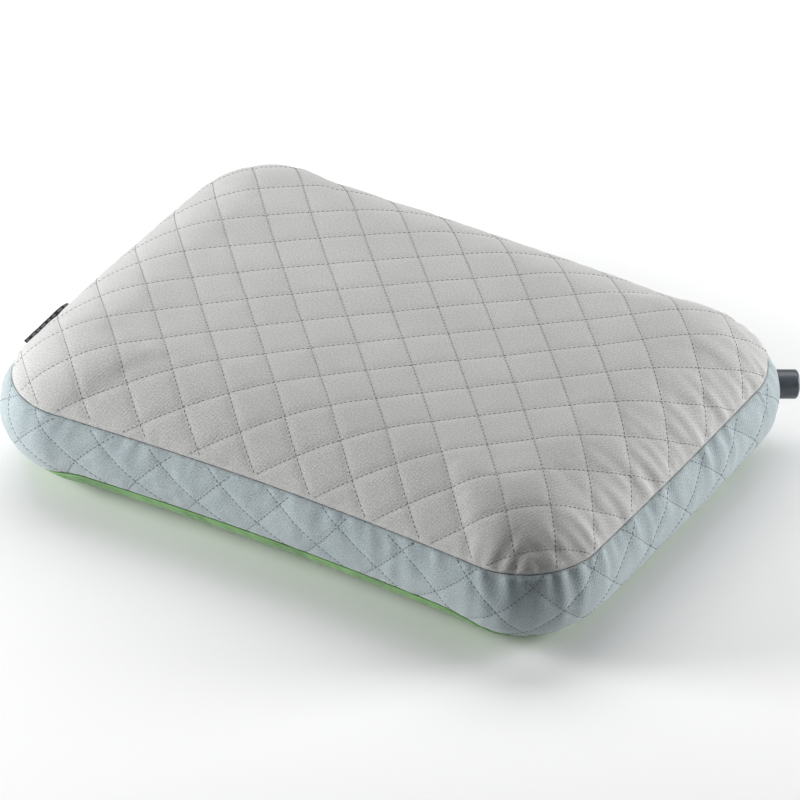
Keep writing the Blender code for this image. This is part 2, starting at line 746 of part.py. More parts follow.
def plug_seal(back, front, blind, socket, mouth_r, place, mat):
    """The rubber plug: a disc that seals the mouth from inside, a nose in the mouth, a socket behind."""
    profile = [
        (blind, 0.0),
        (blind, socket),
        (back, socket),
        (back, PLUG_R),
        (front, PLUG_R),
        (front, mouth_r - GAP),
        (CAP_END - 1.0, mouth_r - 3 * GAP),
        (CAP_END - 1.0, 0.0),
    ]
    return turned("valve_plug_seal", profile, place, mat, 24)


build()
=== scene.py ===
# %% [markdown]
# # A camp pillow in a quilted cover
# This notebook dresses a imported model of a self-inflating camp pillow: a foam core in a bladder with a
# twist valve, in a cover of quilted polyester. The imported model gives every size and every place, so
# it is loaded first and never changed. Its soft, smooth solids are then replaced, piece by piece, with
# cloth that has cells, stitches, seams and folds, and its hard parts get finer shapes and finishes.

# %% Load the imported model
import math

import bmesh
import bpy
import numpy as np
from mathutils import Matrix, Vector, noise
from mathutils.bvhtree import BVHTree
from mathutils.geometry import delaunay_2d_cdt
from mathutils.interpolate import poly_3d_calc


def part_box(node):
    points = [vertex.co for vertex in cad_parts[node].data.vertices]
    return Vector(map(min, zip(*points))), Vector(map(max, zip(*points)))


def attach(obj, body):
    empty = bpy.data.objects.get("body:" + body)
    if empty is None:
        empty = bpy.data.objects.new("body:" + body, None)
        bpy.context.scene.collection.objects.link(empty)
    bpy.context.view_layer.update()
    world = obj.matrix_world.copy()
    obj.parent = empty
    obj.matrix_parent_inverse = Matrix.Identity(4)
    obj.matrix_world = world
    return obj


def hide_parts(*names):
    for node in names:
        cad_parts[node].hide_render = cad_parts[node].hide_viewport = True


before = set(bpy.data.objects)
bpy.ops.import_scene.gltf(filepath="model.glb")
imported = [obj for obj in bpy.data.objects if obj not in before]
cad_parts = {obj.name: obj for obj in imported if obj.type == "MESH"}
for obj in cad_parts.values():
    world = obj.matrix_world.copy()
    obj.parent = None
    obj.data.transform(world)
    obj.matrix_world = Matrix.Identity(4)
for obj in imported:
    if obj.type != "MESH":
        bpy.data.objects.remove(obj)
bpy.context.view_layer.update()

# %% [markdown]
# ## The shape that the cover is stretched over
# The pillow is a stack of rings. Each ring is the same rounded rectangle, drawn in more and more on
# the way up to the top and down to the flat underside. A place on it is given by how far round the
# widest ring it is (run, in millimetres) and by a latitude: 0 on the widest ring, 90 where the
# shoulder meets the top, -90 where the side meets the underside, and 190 or -190 in the middle.
# Working with run and latitude keeps the cloth, its seams and its stitches on one surface. Lengths
# are in millimetres until a mesh is made, because cloth is cut and sewn in millimetres.

# %% Sizes of the pillow
MM = 0.001
HALF_LENGTH, HALF_WIDTH, CORNER_R = 230.0, 172.5, 65.0
EQUATOR_Z = 43.8
SHOULDER_IN, SHOULDER_UP, UNDER_IN, CROWN = 76.5, 55.8, 52.3, 12.2
WAIST_FRONT, SIDE_BULGE = 8.7, 2.6
TOP_SEAM_LAT, LOW_SEAM_LAT, LOW_SEAM_END_LAT = 25.0, 25.0, 52.0
DIP_FROM, DIP_TO = 140.0, 215.0  # where the lower seam dips under, from the middle
CLOTH = 1.2  # face cloth, thickness
CORNER_STEPS, SIDE_STEPS = 45, 40  # points of the ring round a corner and along a side
low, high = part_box("cover_side_band")
print("band in the model", [round(v / MM, 1) for v in (*low, *high)])


# %% The widest ring, and a place on the surface
def ring_table():
    """Points round the widest ring with the direction out and the length run, for interpolation."""
    points, turns = [], []
    signs = ((1, 1), (-1, 1), (-1, -1), (1, -1))
    for k, (sx, sy) in enumerate(signs):
        turn = 90.0 * k + np.linspace(0.0, 90.0, CORNER_STEPS + 1)
        out = np.stack([np.cos(np.radians(turn)), np.sin(np.radians(turn))], 1)
        arc = np.array([sx * (HALF_LENGTH - CORNER_R), sy * (HALF_WIDTH - CORNER_R)]) + CORNER_R * out
        nx, ny = signs[(k + 1) % 4]
        end = np.array([nx * (HALF_LENGTH - CORNER_R), ny * (HALF_WIDTH - CORNER_R)]) + CORNER_R * out[-1]
        share = np.linspace(0.0, 1.0, SIDE_STEPS + 2)[1:-1, None]
        points += [arc, arc[-1] + (end - arc[-1]) * share]
        turns += [turn, np.full(SIDE_STEPS, turn[-1])]
    points = np.concatenate(points + [points[0][:1]])
    turns = np.concatenate(turns + [[360.0]])
    run = np.r_[0.0, np.cumsum(np.hypot(*np.diff(points, axis=0).T))]
    return points, turns, run


RING, TURNS, RUN = ring_table()
ROUND = RUN[-1]


def ring_at(run):
    run = np.mod(run, ROUND)
    turn = np.radians(np.interp(run, RUN, TURNS))
    x, y = (np.interp(run, RUN, RING[:, k]) for k in (0, 1))
    return x, y, np.cos(turn), np.sin(turn)


def surface(run, lat, depth=0.0):
    """The point this deep under the pillow's outside, in millimetres."""
    run, lat = np.broadcast_arrays(np.asarray(run, float), np.asarray(lat, float))
    x, y, nx, ny = ring_at(run)
    x, y = x - nx * depth, y - ny * depth
    reach = x * nx + y * ny
    t = np.radians(np.minimum(90.0, np.abs(lat)))
    up = lat >= 0
    into = (np.where(up, SHOULDER_IN, UNDER_IN) - depth) * (1 - np.cos(t))
    rise = np.where(up, SHOULDER_UP - depth, depth - EQUATOR_Z)
    z = EQUATOR_Z + rise * np.sin(t)
    rho = (1 - into / reach) * (1 - np.maximum(0.0, np.abs(lat) - 90.0) / 100.0)
    x, y = x * rho, y * rho
    z = z + np.where(lat > 0, CROWN * (1 - (x / HALF_LENGTH) ** 2) * (1 - (y / HALF_WIDTH) ** 2), 0.0)
    fx = np.maximum(0.0, 1 - (x / HALF_LENGTH) ** 2) ** 1.5
    fy = np.maximum(0.0, 1 - (y / HALF_WIDTH) ** 2) ** 1.5
    x = x * (1 + SIDE_BULGE / HALF_LENGTH * fy)
    y = y * (1 - np.where(y < 0, WAIST_FRONT, 0.0) / HALF_WIDTH * fx)
    return np.stack([x, y, z], -1)


def smooth_step(x, a, b):
    """0 before a, 1 after b, and a smooth rise between them."""
    t = np.clip((x - a) / (b - a), 0.0, 1.0)
    return t * t * (3 - 2 * t)


def low_seam(run):
    """Latitude of the seam to the base panel: it dips under towards the two ends."""
    x, _, _, _ = ring_at(run)
    return -(LOW_SEAM_LAT + (LOW_SEAM_END_LAT - LOW_SEAM_LAT) * smooth_step(np.abs(x), DIP_FROM, DIP_TO))


def arc_table(across, up):
    """Length of a quarter ellipse from its start to each latitude."""
    lat = np.linspace(0.0, 90.0, 181)
    t = np.radians(lat)
    speed = np.hypot(across * np.sin(t), up * np.cos(t))
    return lat, np.r_[0.0, np.cumsum((speed[1:] + speed[:-1]) / 2 * np.radians(0.5))]


UP_LAT, UP_LEN = arc_table(SHOULDER_IN, SHOULDER_UP)
DOWN_LAT, DOWN_LEN = arc_table(UNDER_IN, EQUATOR_Z)
print("round the pillow", round(ROUND), "mm; over the shoulder", round(UP_LEN[-1]), "mm")

# %% [markdown]
# ## Quilting
# Quilted cloth is made flat: face cloth, wadding and backing are stitched together in rows, and the
# panel is cut out of it afterwards. So each panel is laid out flat here too. Its mesh follows the
# stitch rows, eight steps to a cell, with triangles only where the cut edge crosses the cells. A row
# number that is whole on a stitch line and runs smoothly between lines is all that is needed to lay
# the mesh, to puff the cells, to press the lines in and to set the stitches. The rows bend a little
# where the cloth was eased over the shoulder.

# %% Stitch rows of the top panel and of the band
STEPS = 8  # mesh steps per cell
TOP_PITCH = (31.5, 30.9)  # between rows, the two directions
TOP_HEADING = (40.9, -46.7)
TOP_BEND = ((-0.13, 0.43, 0.47, 0.23), (-0.085, 0.10, 0.30, 0.05))  # start, bow, fan and lift, in rows
BEND_UNIT = 200.0  # the distance from the middle that the bend is given for
BAND_CELLS = 32
BAND_REPEAT = ROUND / BAND_CELLS
BAND_FROM = 872.0  # a crossing on the front of the band
FRONT_LEAN, CORNER_LEAN = (0.84, 1.62), (1.25, 1.0)
LEAN_STARTS, LEAN_ENDS = (790.0, 850.0), (1080.0, 1180.0)  # the runs where the front's lean comes and goes
BAND_LEVEL = -4.0


def row_number(x, y, pitch, heading, bend):
    """Rows are straight and evenly set but for a bow along X, a fan that opens with Y, and a lift."""
    start, bow, fan, lift = bend
    a = math.radians(heading)
    u, v = x / BEND_UNIT, y / BEND_UNIT
    across = y * math.cos(a) - x * math.sin(a)
    return across / pitch + start - bow * u * u - fan * u * u * v - lift * v * v


def top_rows(x, y):
    return tuple(row_number(x, y, *family) for family in zip(TOP_PITCH, TOP_HEADING, TOP_BEND))


def band_rows(run, m):
    """Along the front the rows lean one way, and round the corners and the sides they even out."""
    side = 1 - smooth_step(run, *LEAN_STARTS) * (1 - smooth_step(run, *LEAN_ENDS))
    lean = [a + (b - a) * side for a, b in zip(FRONT_LEAN, CORNER_LEAN)]
    m = m - BAND_LEVEL
    return (run - BAND_FROM - lean[0] * m) / BAND_REPEAT, (run - BAND_FROM + lean[1] * m) / BAND_REPEAT


def step_towards(rows, one, two, x, y, nudge=0.5):
    """From this place to the one with these row numbers, if the rows went on as straight as here."""
    f, g = rows(x, y)
    fx, gx = ((b - a) / nudge for a, b in zip((f, g), rows(x + nudge, y)))
    fy, gy = ((b - a) / nudge for a, b in zip((f, g), rows(x, y + nudge)))
    det = fx * gy - fy * gx
    ef, eg = one - f, two - g
    return (ef * gy - eg * fy) / det, (eg * fx - ef * gx) / det


def place_of(rows, one, two):
    """Newton's method from the middle of the panel: the flat place that has these row numbers."""
    x, y = np.array(0.0 if rows is top_rows else BAND_FROM), np.array(0.0)
    dx, dy = step_towards(rows, one, two, x, y)
    x, y = x + dx, y + dy
    for _ in range(15):
        dx, dy = step_towards(rows, one, two, x, y)
        x, y = x + np.clip(dx, -40, 40), y + np.clip(dy, -40, 40)
    return x, y


# %% Lay a quilted panel out flat
def within(loops, x, y):
    """Even-odd test: inside the first loop and outside the holes."""
    found = np.zeros(x.shape, bool)
    for loop in loops:
        for (x0, y0), (x1, y1) in zip(loop, np.roll(loop, -1, axis=0)):
            if y0 != y1:
                crosses = (y0 > y) != (y1 > y)
                found ^= crosses & (x < (x1 - x0) * (y - y0) / (y1 - y0) + x0)
    return found


def lay_out(loops, rows, grid_one, grid_two, margin):
    """Points and faces of a flat panel: squares along the rows, triangles between them and the edge."""
    i, j = np.meshgrid(grid_one, grid_two, indexing="ij")
    x, y = place_of(rows, i / STEPS, j / STEPS)
    inside = within(loops, x, y)
    edge = np.concatenate(loops)
    for k in range(len(x)):
        some = inside[k]
        if some.any():
            away = np.hypot(x[k][some][:, None] - edge[:, 0], y[k][some][:, None] - edge[:, 1]).min(1)
            inside[k, some] = away > margin
    number = np.full(x.shape, -1)
    number[inside] = np.arange(inside.sum()) + len(edge)
    points = np.concatenate([edge, np.stack([x[inside], y[inside]], 1)])
    full = inside[:-1, :-1] & inside[1:, :-1] & inside[1:, 1:] & inside[:-1, 1:]
    squares = np.stack([number[:-1, :-1], number[1:, :-1], number[1:, 1:], number[:-1, 1:]], -1)[full]
    corners = points[squares[0]]
    one_way, other_way = corners[1] - corners[0], corners[2] - corners[1]
    if one_way[0] * other_way[1] < one_way[1] * other_way[0]:
        squares = squares[:, ::-1]  # every face turned the same way as the triangles
    use = {}
    for face in squares:
        for a, b in zip(face, np.roll(face, -1)):
            use[min(a, b), max(a, b)] = use.get((min(a, b), max(a, b)), 0) + 1
    fixed = [(int(a), int(b)) for (a, b), n in use.items() if n == 1]
    first = 0
    for loop in loops:
        fixed += [(first + k, first + (k + 1) % len(loop)) for k in range(len(loop))]
        first += len(loop)
    verts, _, faces, origin, _, _ = delaunay_2d_cdt([Vector(p) for p in points], fixed, [], 1, 1e-4)
    now = {}
    for k, source in enumerate(origin):
        for s in source:
            now[s] = k
    flat = np.array([tuple(v) for v in verts])
    middle = np.array([flat[list(f)].mean(0) for f in faces])
    f, g = rows(middle[:, 0], middle[:, 1])
    ci = np.floor(f * STEPS).astype(int) - int(grid_one[0])
    cj = np.floor(g * STEPS).astype(int) - int(grid_two[0])
    ok = (ci >= 0) & (cj >= 0) & (ci < full.shape[0]) & (cj < full.shape[1])
    covered = np.zeros(len(faces), bool)
    covered[ok] = full[ci[ok], cj[ok]]
    keep = within(loops, middle[:, 0], middle[:, 1]) & ~covered
    made = [tuple(now[int(v)] for v in face) for face in squares]
    made += [tuple(f) for f, k in zip(faces, keep) if k]
    return flat, made


# %% [markdown]
# ## From flat cloth to the pillow
# The top panel is curved both ways, so no formula lays it on exactly. It is unrolled instead: every
# place on the surface is given the flat place that it would have if the shoulder were flattened
# outwards. A search tree over that flat map then answers the question the other way round. The
# same map, made again from the finished cloth, later tells each stitch where it lies.

# %% A map between flat cloth and solid cloth
def grid_faces(n, m, round_n=False, round_m=False, first=0):
    """Squares between n rows of m points. Either direction can close on itself."""
    faces = []
    for i in range(n if round_n else n - 1):
        a, b = first + i * m, first + (i + 1) % n * m
        for j in range(m if round_m else m - 1):
            q = (j + 1) % m
            faces.append((a + j, b + j, b + q, a + q))
    return faces


def crosses_join(values):
    """True for a face that spans from the end of the band's flat strip back to its start."""
    return max(values) - min(values) > ROUND / 2


class ClothMap:
    def __init__(self, flat, solid, faces):
        flat, solid = [tuple(p) for p in flat], list(solid)
        kept = [f for f in faces if not crosses_join([flat[v][0] for v in f])]
        for face in [f for f in faces if crosses_join([flat[v][0] for v in f])]:
            for shift in (0.0, -ROUND):  # once past the end of the strip and once before its start
                first = len(flat)
                for v in face:
                    x, y = flat[v]
                    flat.append((x + shift + (ROUND if x < ROUND / 2 else 0.0), y))
                    solid.append(solid[v])
                kept.append(tuple(range(first, len(flat))))
        self.flat = [Vector((x, y, 0.0)) for x, y in flat]
        self.solid = np.array(solid)
        self.faces = kept
        self.tree = BVHTree.FromPolygons(self.flat, kept)

    def at(self, points):
        """Solid places of flat points."""
        found = []
        for x, y in points:
            near, _, index, _ = self.tree.find_nearest(Vector((x, y, 0.0)))
            face = self.faces[index]
            weights = poly_3d_calc([self.flat[v] for v in face], near)
            found.append(sum(w * self.solid[v] for w, v in zip(weights, face)))
        return np.array(found)


def unrolled(run, lat):
    _, _, nx, ny = ring_at(run)
    p = surface(run, lat)
    left = UP_LEN[-1] - np.interp(np.minimum(lat, 90.0), UP_LAT, UP_LEN)
    away = left - SHOULDER_IN * np.cos(np.radians(np.minimum(lat, 90.0)))
    return np.stack([p[..., 0] + away * nx, p[..., 1] + away * ny], -1)


def top_map():
    runs = RUN[:-1]
    lats = np.r_[np.linspace(TOP_SEAM_LAT - 2.0, 90.0, 45), np.linspace(93.0, 189.0, 33)]
    s, l = np.meshgrid(runs, lats, indexing="ij")
    n, m = s.shape
    faces = grid_faces(n, m, round_n=True)
    faces.append(tuple(i * m + m - 1 for i in range(n)))
    return ClothMap(unrolled(s, l).reshape(-1, 2), surface(s, l).reshape(-1, 3), faces)


def band_solid(flat):
    run, m = flat[:, 0], flat[:, 1]
    lat = np.where(m >= 0, np.interp(m, UP_LEN, UP_LAT), -np.interp(-m, DOWN_LEN, DOWN_LAT))
    return surface(run, lat)


TOP_MAP = top_map()
print("cloth map of", len(TOP_MAP.faces), "patches")

# %% [markdown]
# ## Meshes
# A few small helpers make every mesh. Cloth gets a real thickness, because a sheet with no thickness
# has no edge to catch the light at a seam, and because the finished pieces are also used as solids.

# %% Helpers for meshes
def mesh_of(name, points, faces, flat=None):
    """A mesh from millimetre points, with the flat cloth as its UV map in metres."""
    mesh = bpy.data.meshes.new(name)
    mesh.from_pydata((np.asarray(points) * MM).tolist(), [], faces)
    mesh.validate()
    if flat is not None:
        uv = mesh.uv_layers.new(name="cloth")
        corners = np.empty(len(mesh.loops), int)
        mesh.loops.foreach_get("vertex_index", corners)
        placed = np.asarray(flat)[corners]
        face_of = np.repeat(np.arange(len(mesh.polygons)), [p.loop_total for p in mesh.polygons])
        far = np.full(len(mesh.polygons), -np.inf)
        np.maximum.at(far, face_of, placed[:, 0])
        placed[far[face_of] - placed[:, 0] > ROUND / 2, 0] += ROUND  # a face over the band's join
        uv.data.foreach_set("uv", (placed * MM).ravel())
    mesh.polygons.foreach_set("use_smooth", [True] * len(mesh.polygons))
    return mesh


def show(name, mesh, material):
    mesh.materials.clear()
    mesh.materials.append(material)
    o = bpy.data.objects.new(name, mesh)
    bpy.context.scene.collection.objects.link(o)
    return o


def arrays(mesh):
    """Points in millimetres, normals, faces, and the flat place of each point."""
    points = np.empty(len(mesh.vertices) * 3)
    mesh.vertices.foreach_get("co", points)
    normals = np.array([tuple(n.vector) for n in mesh.vertex_normals])
    faces = [tuple(p.vertices) for p in mesh.polygons]
    corners = np.empty(len(mesh.loops), int)
    mesh.loops.foreach_get("vertex_index", corners)
    uv = np.empty(len(mesh.loops) * 2)
    mesh.uv_layers[0].data.foreach_get("uv", uv)
    flat = np.zeros((len(mesh.vertices), 2))
    flat[corners] = uv.reshape(-1, 2) / MM
    return points.reshape(-1, 3) / MM, normals, faces, flat


def worked(mesh, work, source=None):
    """The mesh filled from the source, or from itself, after one piece of work on it."""
    bm = bmesh.new()
    bm.from_mesh(source or mesh)
    work(bm)
    bm.to_mesh(mesh)
    bm.free()
    return mesh


def turn_outwards(bm):
    bmesh.ops.recalc_face_normals(bm, faces=bm.faces)


def merge_within(reach):
    return lambda bm: bmesh.ops.remove_doubles(bm, verts=bm.verts, dist=reach * MM)




def applied(o):
    """The mesh of an object with its modifiers applied."""
    depsgraph = bpy.context.evaluated_depsgraph_get()
    return bpy.data.meshes.new_from_object(o.evaluated_get(depsgraph))


def shell(name, points, normals, faces, flat, thickness, material):
    """Cloth with a thickness: the outside, the inside, and a strip round every edge."""
    n = len(points)
    both = np.concatenate([points, points - normals * thickness])
    use = {}
    for face in faces:
        for a, b in zip(face, face[1:] + face[:1]):
            use[a, b] = True
    made = list(faces) + [tuple(v + n for v in reversed(face)) for face in faces]
    made += [(b, a, a + n, b + n) for a, b in use if (b, a) not in use]
    return show(name, mesh_of(name, both, made, np.concatenate([flat, flat])), material)


def bumpy(points, scale, seed):
    """Smooth noise from -1 to 1 whose hills are about this many millimetres apart."""
    shift = Vector((seed * 17.3, seed * 5.1, seed * 9.7))
    return np.array([noise.noise(Vector(p) / scale + shift) for p in points])


# %% [markdown]
# ## Materials
# Colours are read as on screen and turned into the renderer's linear values by one function, and one
# function adds any node with its settings and links.

# %% Helpers for materials
def linear(hexcode):
    parts = [int(hexcode[k:k + 2], 16) / 255 for k in (1, 3, 5)]
    return tuple(c / 12.92 if c <= 0.04045 else ((c + 0.055) / 1.055) ** 2.4 for c in parts) + (1.0,)


def add(tree, kind, links=(), **settings):
    """A node. Settings name its properties or, with underscores for spaces, its inputs."""
    node = tree.nodes.new(kind)
    for key, value in settings.items():
        if hasattr(node, key):
            setattr(node, key, value)
    for key, value in settings.items():
        title = key.replace("_", " ")
        if not hasattr(node, key):
            found = [s for s in node.inputs if s.name.lower() == title.lower() and s.enabled]
            found[0].default_value = value
    for source, target in links:
        tree.links.new(source, node.inputs[target])
    return node


def surface_of(name, colour, roughness, **settings):
    """A material with a Principled shader, and the tree to add to."""
    material = bpy.data.materials.new(name)
    material.use_nodes = True
    tree = material.node_tree
    shader = tree.nodes["Principled BSDF"]
    shader.inputs["Base Color"].default_value = linear(colour)
    shader.inputs["Roughness"].default_value = roughness
    for key, value in settings.items():
        shader.inputs[key.replace("_", " ")].default_value = value
    return material, tree, shader


def mottled(tree, where, scale_mm, dark, light, detail=3.0):
    """Two colours mixed by noise whose patches are about this many millimetres wide."""
    cloud = add(tree, "ShaderNodeTexNoise", [(where, "Vector")], Scale=1.0 / (scale_mm * MM), Detail=detail)
    ramp = add(tree, "ShaderNodeValToRGB", [(cloud.outputs["Fac"], "Fac")])
    for stop, place, colour in zip(ramp.color_ramp.elements, (0.35, 0.65), (dark, light)):
        stop.position = place
        stop.color = linear(colour)
    return ramp.outputs["Color"]


def waves_per(spacing_mm):
    """The scale of a wave texture whose crests stand this many millimetres apart."""
    return math.pi / 20.0 / (spacing_mm * MM)


def relief(tree, shader, height, depth_mm, below=None):
    """Bumps this deep on the shader, on top of any bumps given before."""
    links = [(height, "Height")] + ([(below, "Normal")] if below else [])
    bump = add(tree, "ShaderNodeBump", links, Strength=1.0, Distance=depth_mm * MM)
    tree.links.new(bump.outputs["Normal"], shader.inputs["Normal"])
    return bump.outputs["Normal"]


# %% [markdown]
# ### Brushed polyester face cloth
# A twill whose surface was brushed until it is slightly napped. The nap breaks the light up into soft
# specks a millimetre or so across and gives a faint sheen at grazing angles. The yarn itself, at
# 0.4 mm, is too fine to show, so the twill lines are drawn 1.1 mm apart and very weakly.

# %% Face cloths
def brushed_cloth(name, dark, light, dark_speck):
    material, tree, shader = surface_of(name, light, 0.92, Sheen_Weight=0.25, Sheen_Roughness=0.5, IOR=1.45)
    where = add(tree, "ShaderNodeTexCoord").outputs["UV"]
    broad = mottled(tree, where, 55.0, dark, light, 4.0)
    specks = mottled(tree, where, 1.05, dark_speck, "#ffffff", 2.0)
    mix = add(tree, "ShaderNodeMix", data_type="RGBA", blend_type="MULTIPLY")
    mix.inputs[0].default_value = 1.0
    tree.links.new(broad, mix.inputs[6])
    tree.links.new(specks, mix.inputs[7])
    tree.links.new(mix.outputs[2], shader.inputs["Base Color"])
    nap = add(tree, "ShaderNodeTexNoise", [(where, "Vector")], Scale=1.0 / (1.5 * MM), Detail=3.0)
    slant = add(tree, "ShaderNodeMapping", [(where, "Vector")], Rotation=(0.0, 0.0, math.radians(28.0)))
    line = add(tree, "ShaderNodeTexWave", [(slant.outputs[0], "Vector")], Scale=waves_per(1.1),
               Distortion=2.0, Detail=2.0, Detail_Scale=3.0)
    first = relief(tree, shader, nap.outputs["Fac"], 0.18)
    relief(tree, shader, line.outputs["Fac"], 0.05, first)
    return material


TOP_CLOTH = brushed_cloth("brushed_polyester_twill_light_grey", "#b3b3b1", "#b9b9b7", "#dadada")
# The band is the same cloth as the top; its cooler, darker greys are painted shade, the cool light that
# falls on the upright sides.
BAND_CLOTH = brushed_cloth("brushed_polyester_twill_grey_painted_cool_shade", "#9eaaae", "#a6b1b4", "#dadada")

# %% [markdown]
# ### Plain-woven polyester, dyed green
# Smooth filament yarn in a plain weave: a fine checker of over and under, a little shinier than the
# face cloth. The threads, 0.5 mm apart, are drawn 1 mm apart so that they can show.

# %% Green base cloth
def woven_cloth(name, dark, light, thread_mm, roughness, depth_mm):
    material, tree, shader = surface_of(name, light, roughness, IOR=1.5, Sheen_Weight=0.1)
    where = add(tree, "ShaderNodeTexCoord").outputs["UV"]
    tree.links.new(mottled(tree, where, 30.0, dark, light, 4.0), shader.inputs["Base Color"])
    waves = []
    for direction in ("X", "Y"):
        wave = add(tree, "ShaderNodeTexWave", [(where, "Vector")], bands_direction=direction,
                   Scale=waves_per(thread_mm), Distortion=0.6, Detail=1.0)
        waves.append(wave.outputs["Fac"])
    weave = add(tree, "ShaderNodeMath", operation="MULTIPLY")
    for k in (0, 1):
        tree.links.new(waves[k], weave.inputs[k])
    relief(tree, shader, weave.outputs[0], depth_mm)
    return material


BASE_CLOTH = woven_cloth("plain_woven_polyester_green", "#5f8a52", "#74a063", 1.0, 0.75, 0.15)

# %% [markdown]
# ### Thread, wadding, foam and film
# The thread is spun polyester, drawn a darker grey than the cloth: partly its own colour and partly
# painted shade, the shade of the stitch groove and the needle holes. Inside lie lofted polyester wadding, a
# film of coated cloth welded into a bladder, and open-cell foam. They don't show, but each has its
# own finish, because the cover can be unzipped.

# %% Thread and fillings
def plain(name, dark, light, scale_mm, roughness, depth_mm, **settings):
    """One finish for a piece without a flat layout: two near colours in patches, and a fine relief."""
    material, tree, shader = surface_of(name, light, roughness, **settings)
    where = add(tree, "ShaderNodeTexCoord").outputs["Object"]
    tree.links.new(mottled(tree, where, scale_mm, dark, light), shader.inputs["Base Color"])
    grain = add(tree, "ShaderNodeTexNoise", [(where, "Vector")], Scale=2.0 / (scale_mm * MM), Detail=4.0)
    relief(tree, shader, grain.outputs["Fac"], depth_mm)
    return material


# The thread's dark grey is partly its own colour and partly painted shade: the shade of the stitch groove
# and the needle holes.
THREAD = plain("spun_polyester_thread_grey_and_painted_groove_shade", "#73777a", "#808487", 3.0, 0.8, 0.05, IOR=1.5)
# The band's thread is the same thread, drawn cooler and darker: the band's painted cool shade on top of the
# painted groove shade.
THREAD_BAND_PAINTED_COOL_SHADE = plain("spun_polyester_thread_grey_painted_cool_shade", "#646d71", "#737c81", 3.0, 0.8, 0.05, IOR=1.5)
WADDING = plain("lofted_polyester_wadding", "#e6e6e2", "#f2f2ee", 4.0, 0.95, 0.6, IOR=1.5)
FOAM = plain("open_cell_polyurethane_foam", "#e2d8ae", "#efe7c4", 1.2, 0.95, 0.4, IOR=1.5)
FILM = plain("coated_polyester_film", "#4c5258", "#5a6168", 9.0, 0.45, 0.05, IOR=1.5)

# %% [markdown]
# ### Black parts
# The valve is moulded ABS: black and satin, with the faint orange-peel of a spark-eroded mould that
# spreads its highlights. Its colour is drawn a mid grey, not black: the grey is painted highlight, the
# reflection of the light panels spread over the plastic. Its seals are rubber, duller and without a crisp
# highlight. The zip is a polyester coil on woven tape, with a slider and stops of die-cast zinc.

# %% Valve and zip finishes
# The mid grey base colour is painted highlight: the light panels' reflection spread over black plastic.
ABS = plain("black_moulded_abs_painted_highlight", "#444a51", "#4c525a", 6.0, 0.38, 0.02, IOR=1.54, Specular_IOR_Level=0.55)
RUBBER = plain("black_silicone_rubber", "#121212", "#1a1a1a", 3.0, 0.62, 0.03, IOR=1.43)
COIL = plain("dark_grey_polyester_monofilament", "#2e3033", "#3a3c40", 3.0, 0.38, 0.02, IOR=1.57)
ZINC = plain("die_cast_zinc_dark", "#77797c", "#8b8d90", 2.0, 0.36, 0.02, Metallic=1.0)
TAPE = woven_cloth("woven_polyester_tape_dark_grey", "#303338", "#3b3f45", 0.9, 0.85, 0.12)


# %% [markdown]
# ## The quilted panels
# Between two layers of cloth and a sheet of wadding, each cell swells into a low pad and each stitch
# line is pulled down into the wadding. The cells are first puffed by a rule, then a short cloth
# simulation with air pressure, the stitch lines held and the cloth cut slightly too large lets them
# settle as sewn cloth does. One subdivision follows, and then the narrow things that a simulation of
# this size can't make: the crease at each line, small puckers beside it, the gathers where the
# panel was eased into its seam, and the edge rolled down into the seam.

# %% Puffs, creases and puckers
PUFF = 0.32  # height of a cell's middle above its stitch lines
SEAM_SINK = 0.5  # depth of the cloth's edge at a seam
DEEPEST = -0.9  # deepest fold or crease, so that the wadding stays covered
SWELL = 0.35  # most that the simulation may move a point
GROWN, FRAMES = 10.0, 18  # the simulation's size and length
HELD_LINE, HELD_SEAM = 0.3, 2.5  # cloth this near a stitch line or a seam stays where it is
FACE = CLOTH * 0.6  # the face cloth alone, without the backing
WAD_PINCHED, WAD_LOFT, WAD_UNDER = 0.5, 1.9, 0.7
CREASE, CREASE_WIDTH = 0.30, 1.3  # the line that the stitches press in
PUCKER, PUCKER_SIZE, PUCKER_REACH = 0.13, 5.5, 5.0
UNEVEN, UNEVEN_SIZE = 0.5, 42.0  # slow swells over the whole panel
ROLL, ROLL_WIDTH = 0.7, 2.4  # the edge rolled down into the seam


def line_distance(rows, flat, pitch):
    """Millimetres to the nearest line of each direction."""
    return [np.abs(f - np.round(f)) * p for f, p in zip(rows(flat[:, 0], flat[:, 1]), pitch)]


def loft_share(rows, flat, pitch, seam):
    """0 on a stitch line or a seam, 1 in the middle of a cell."""
    height = np.ones(len(flat))
    for d, p in zip(line_distance(rows, flat, pitch), pitch):
        height *= (1 - (1 - np.clip(d / (p / 2), 0, 1)) ** 2) ** 0.6
    return height * smooth_step(seam, 0.0, 12.0)


def puffed(points, normals, rows, flat, pitch, seam):
    """Cells raised between their lines, lines and seams held down."""
    height = loft_share(rows, flat, pitch, seam)
    sink = PUFF * (1 - height) + SEAM_SINK * (1 - smooth_step(seam, 0.0, 4.0))
    return points - normals * sink[:, None]


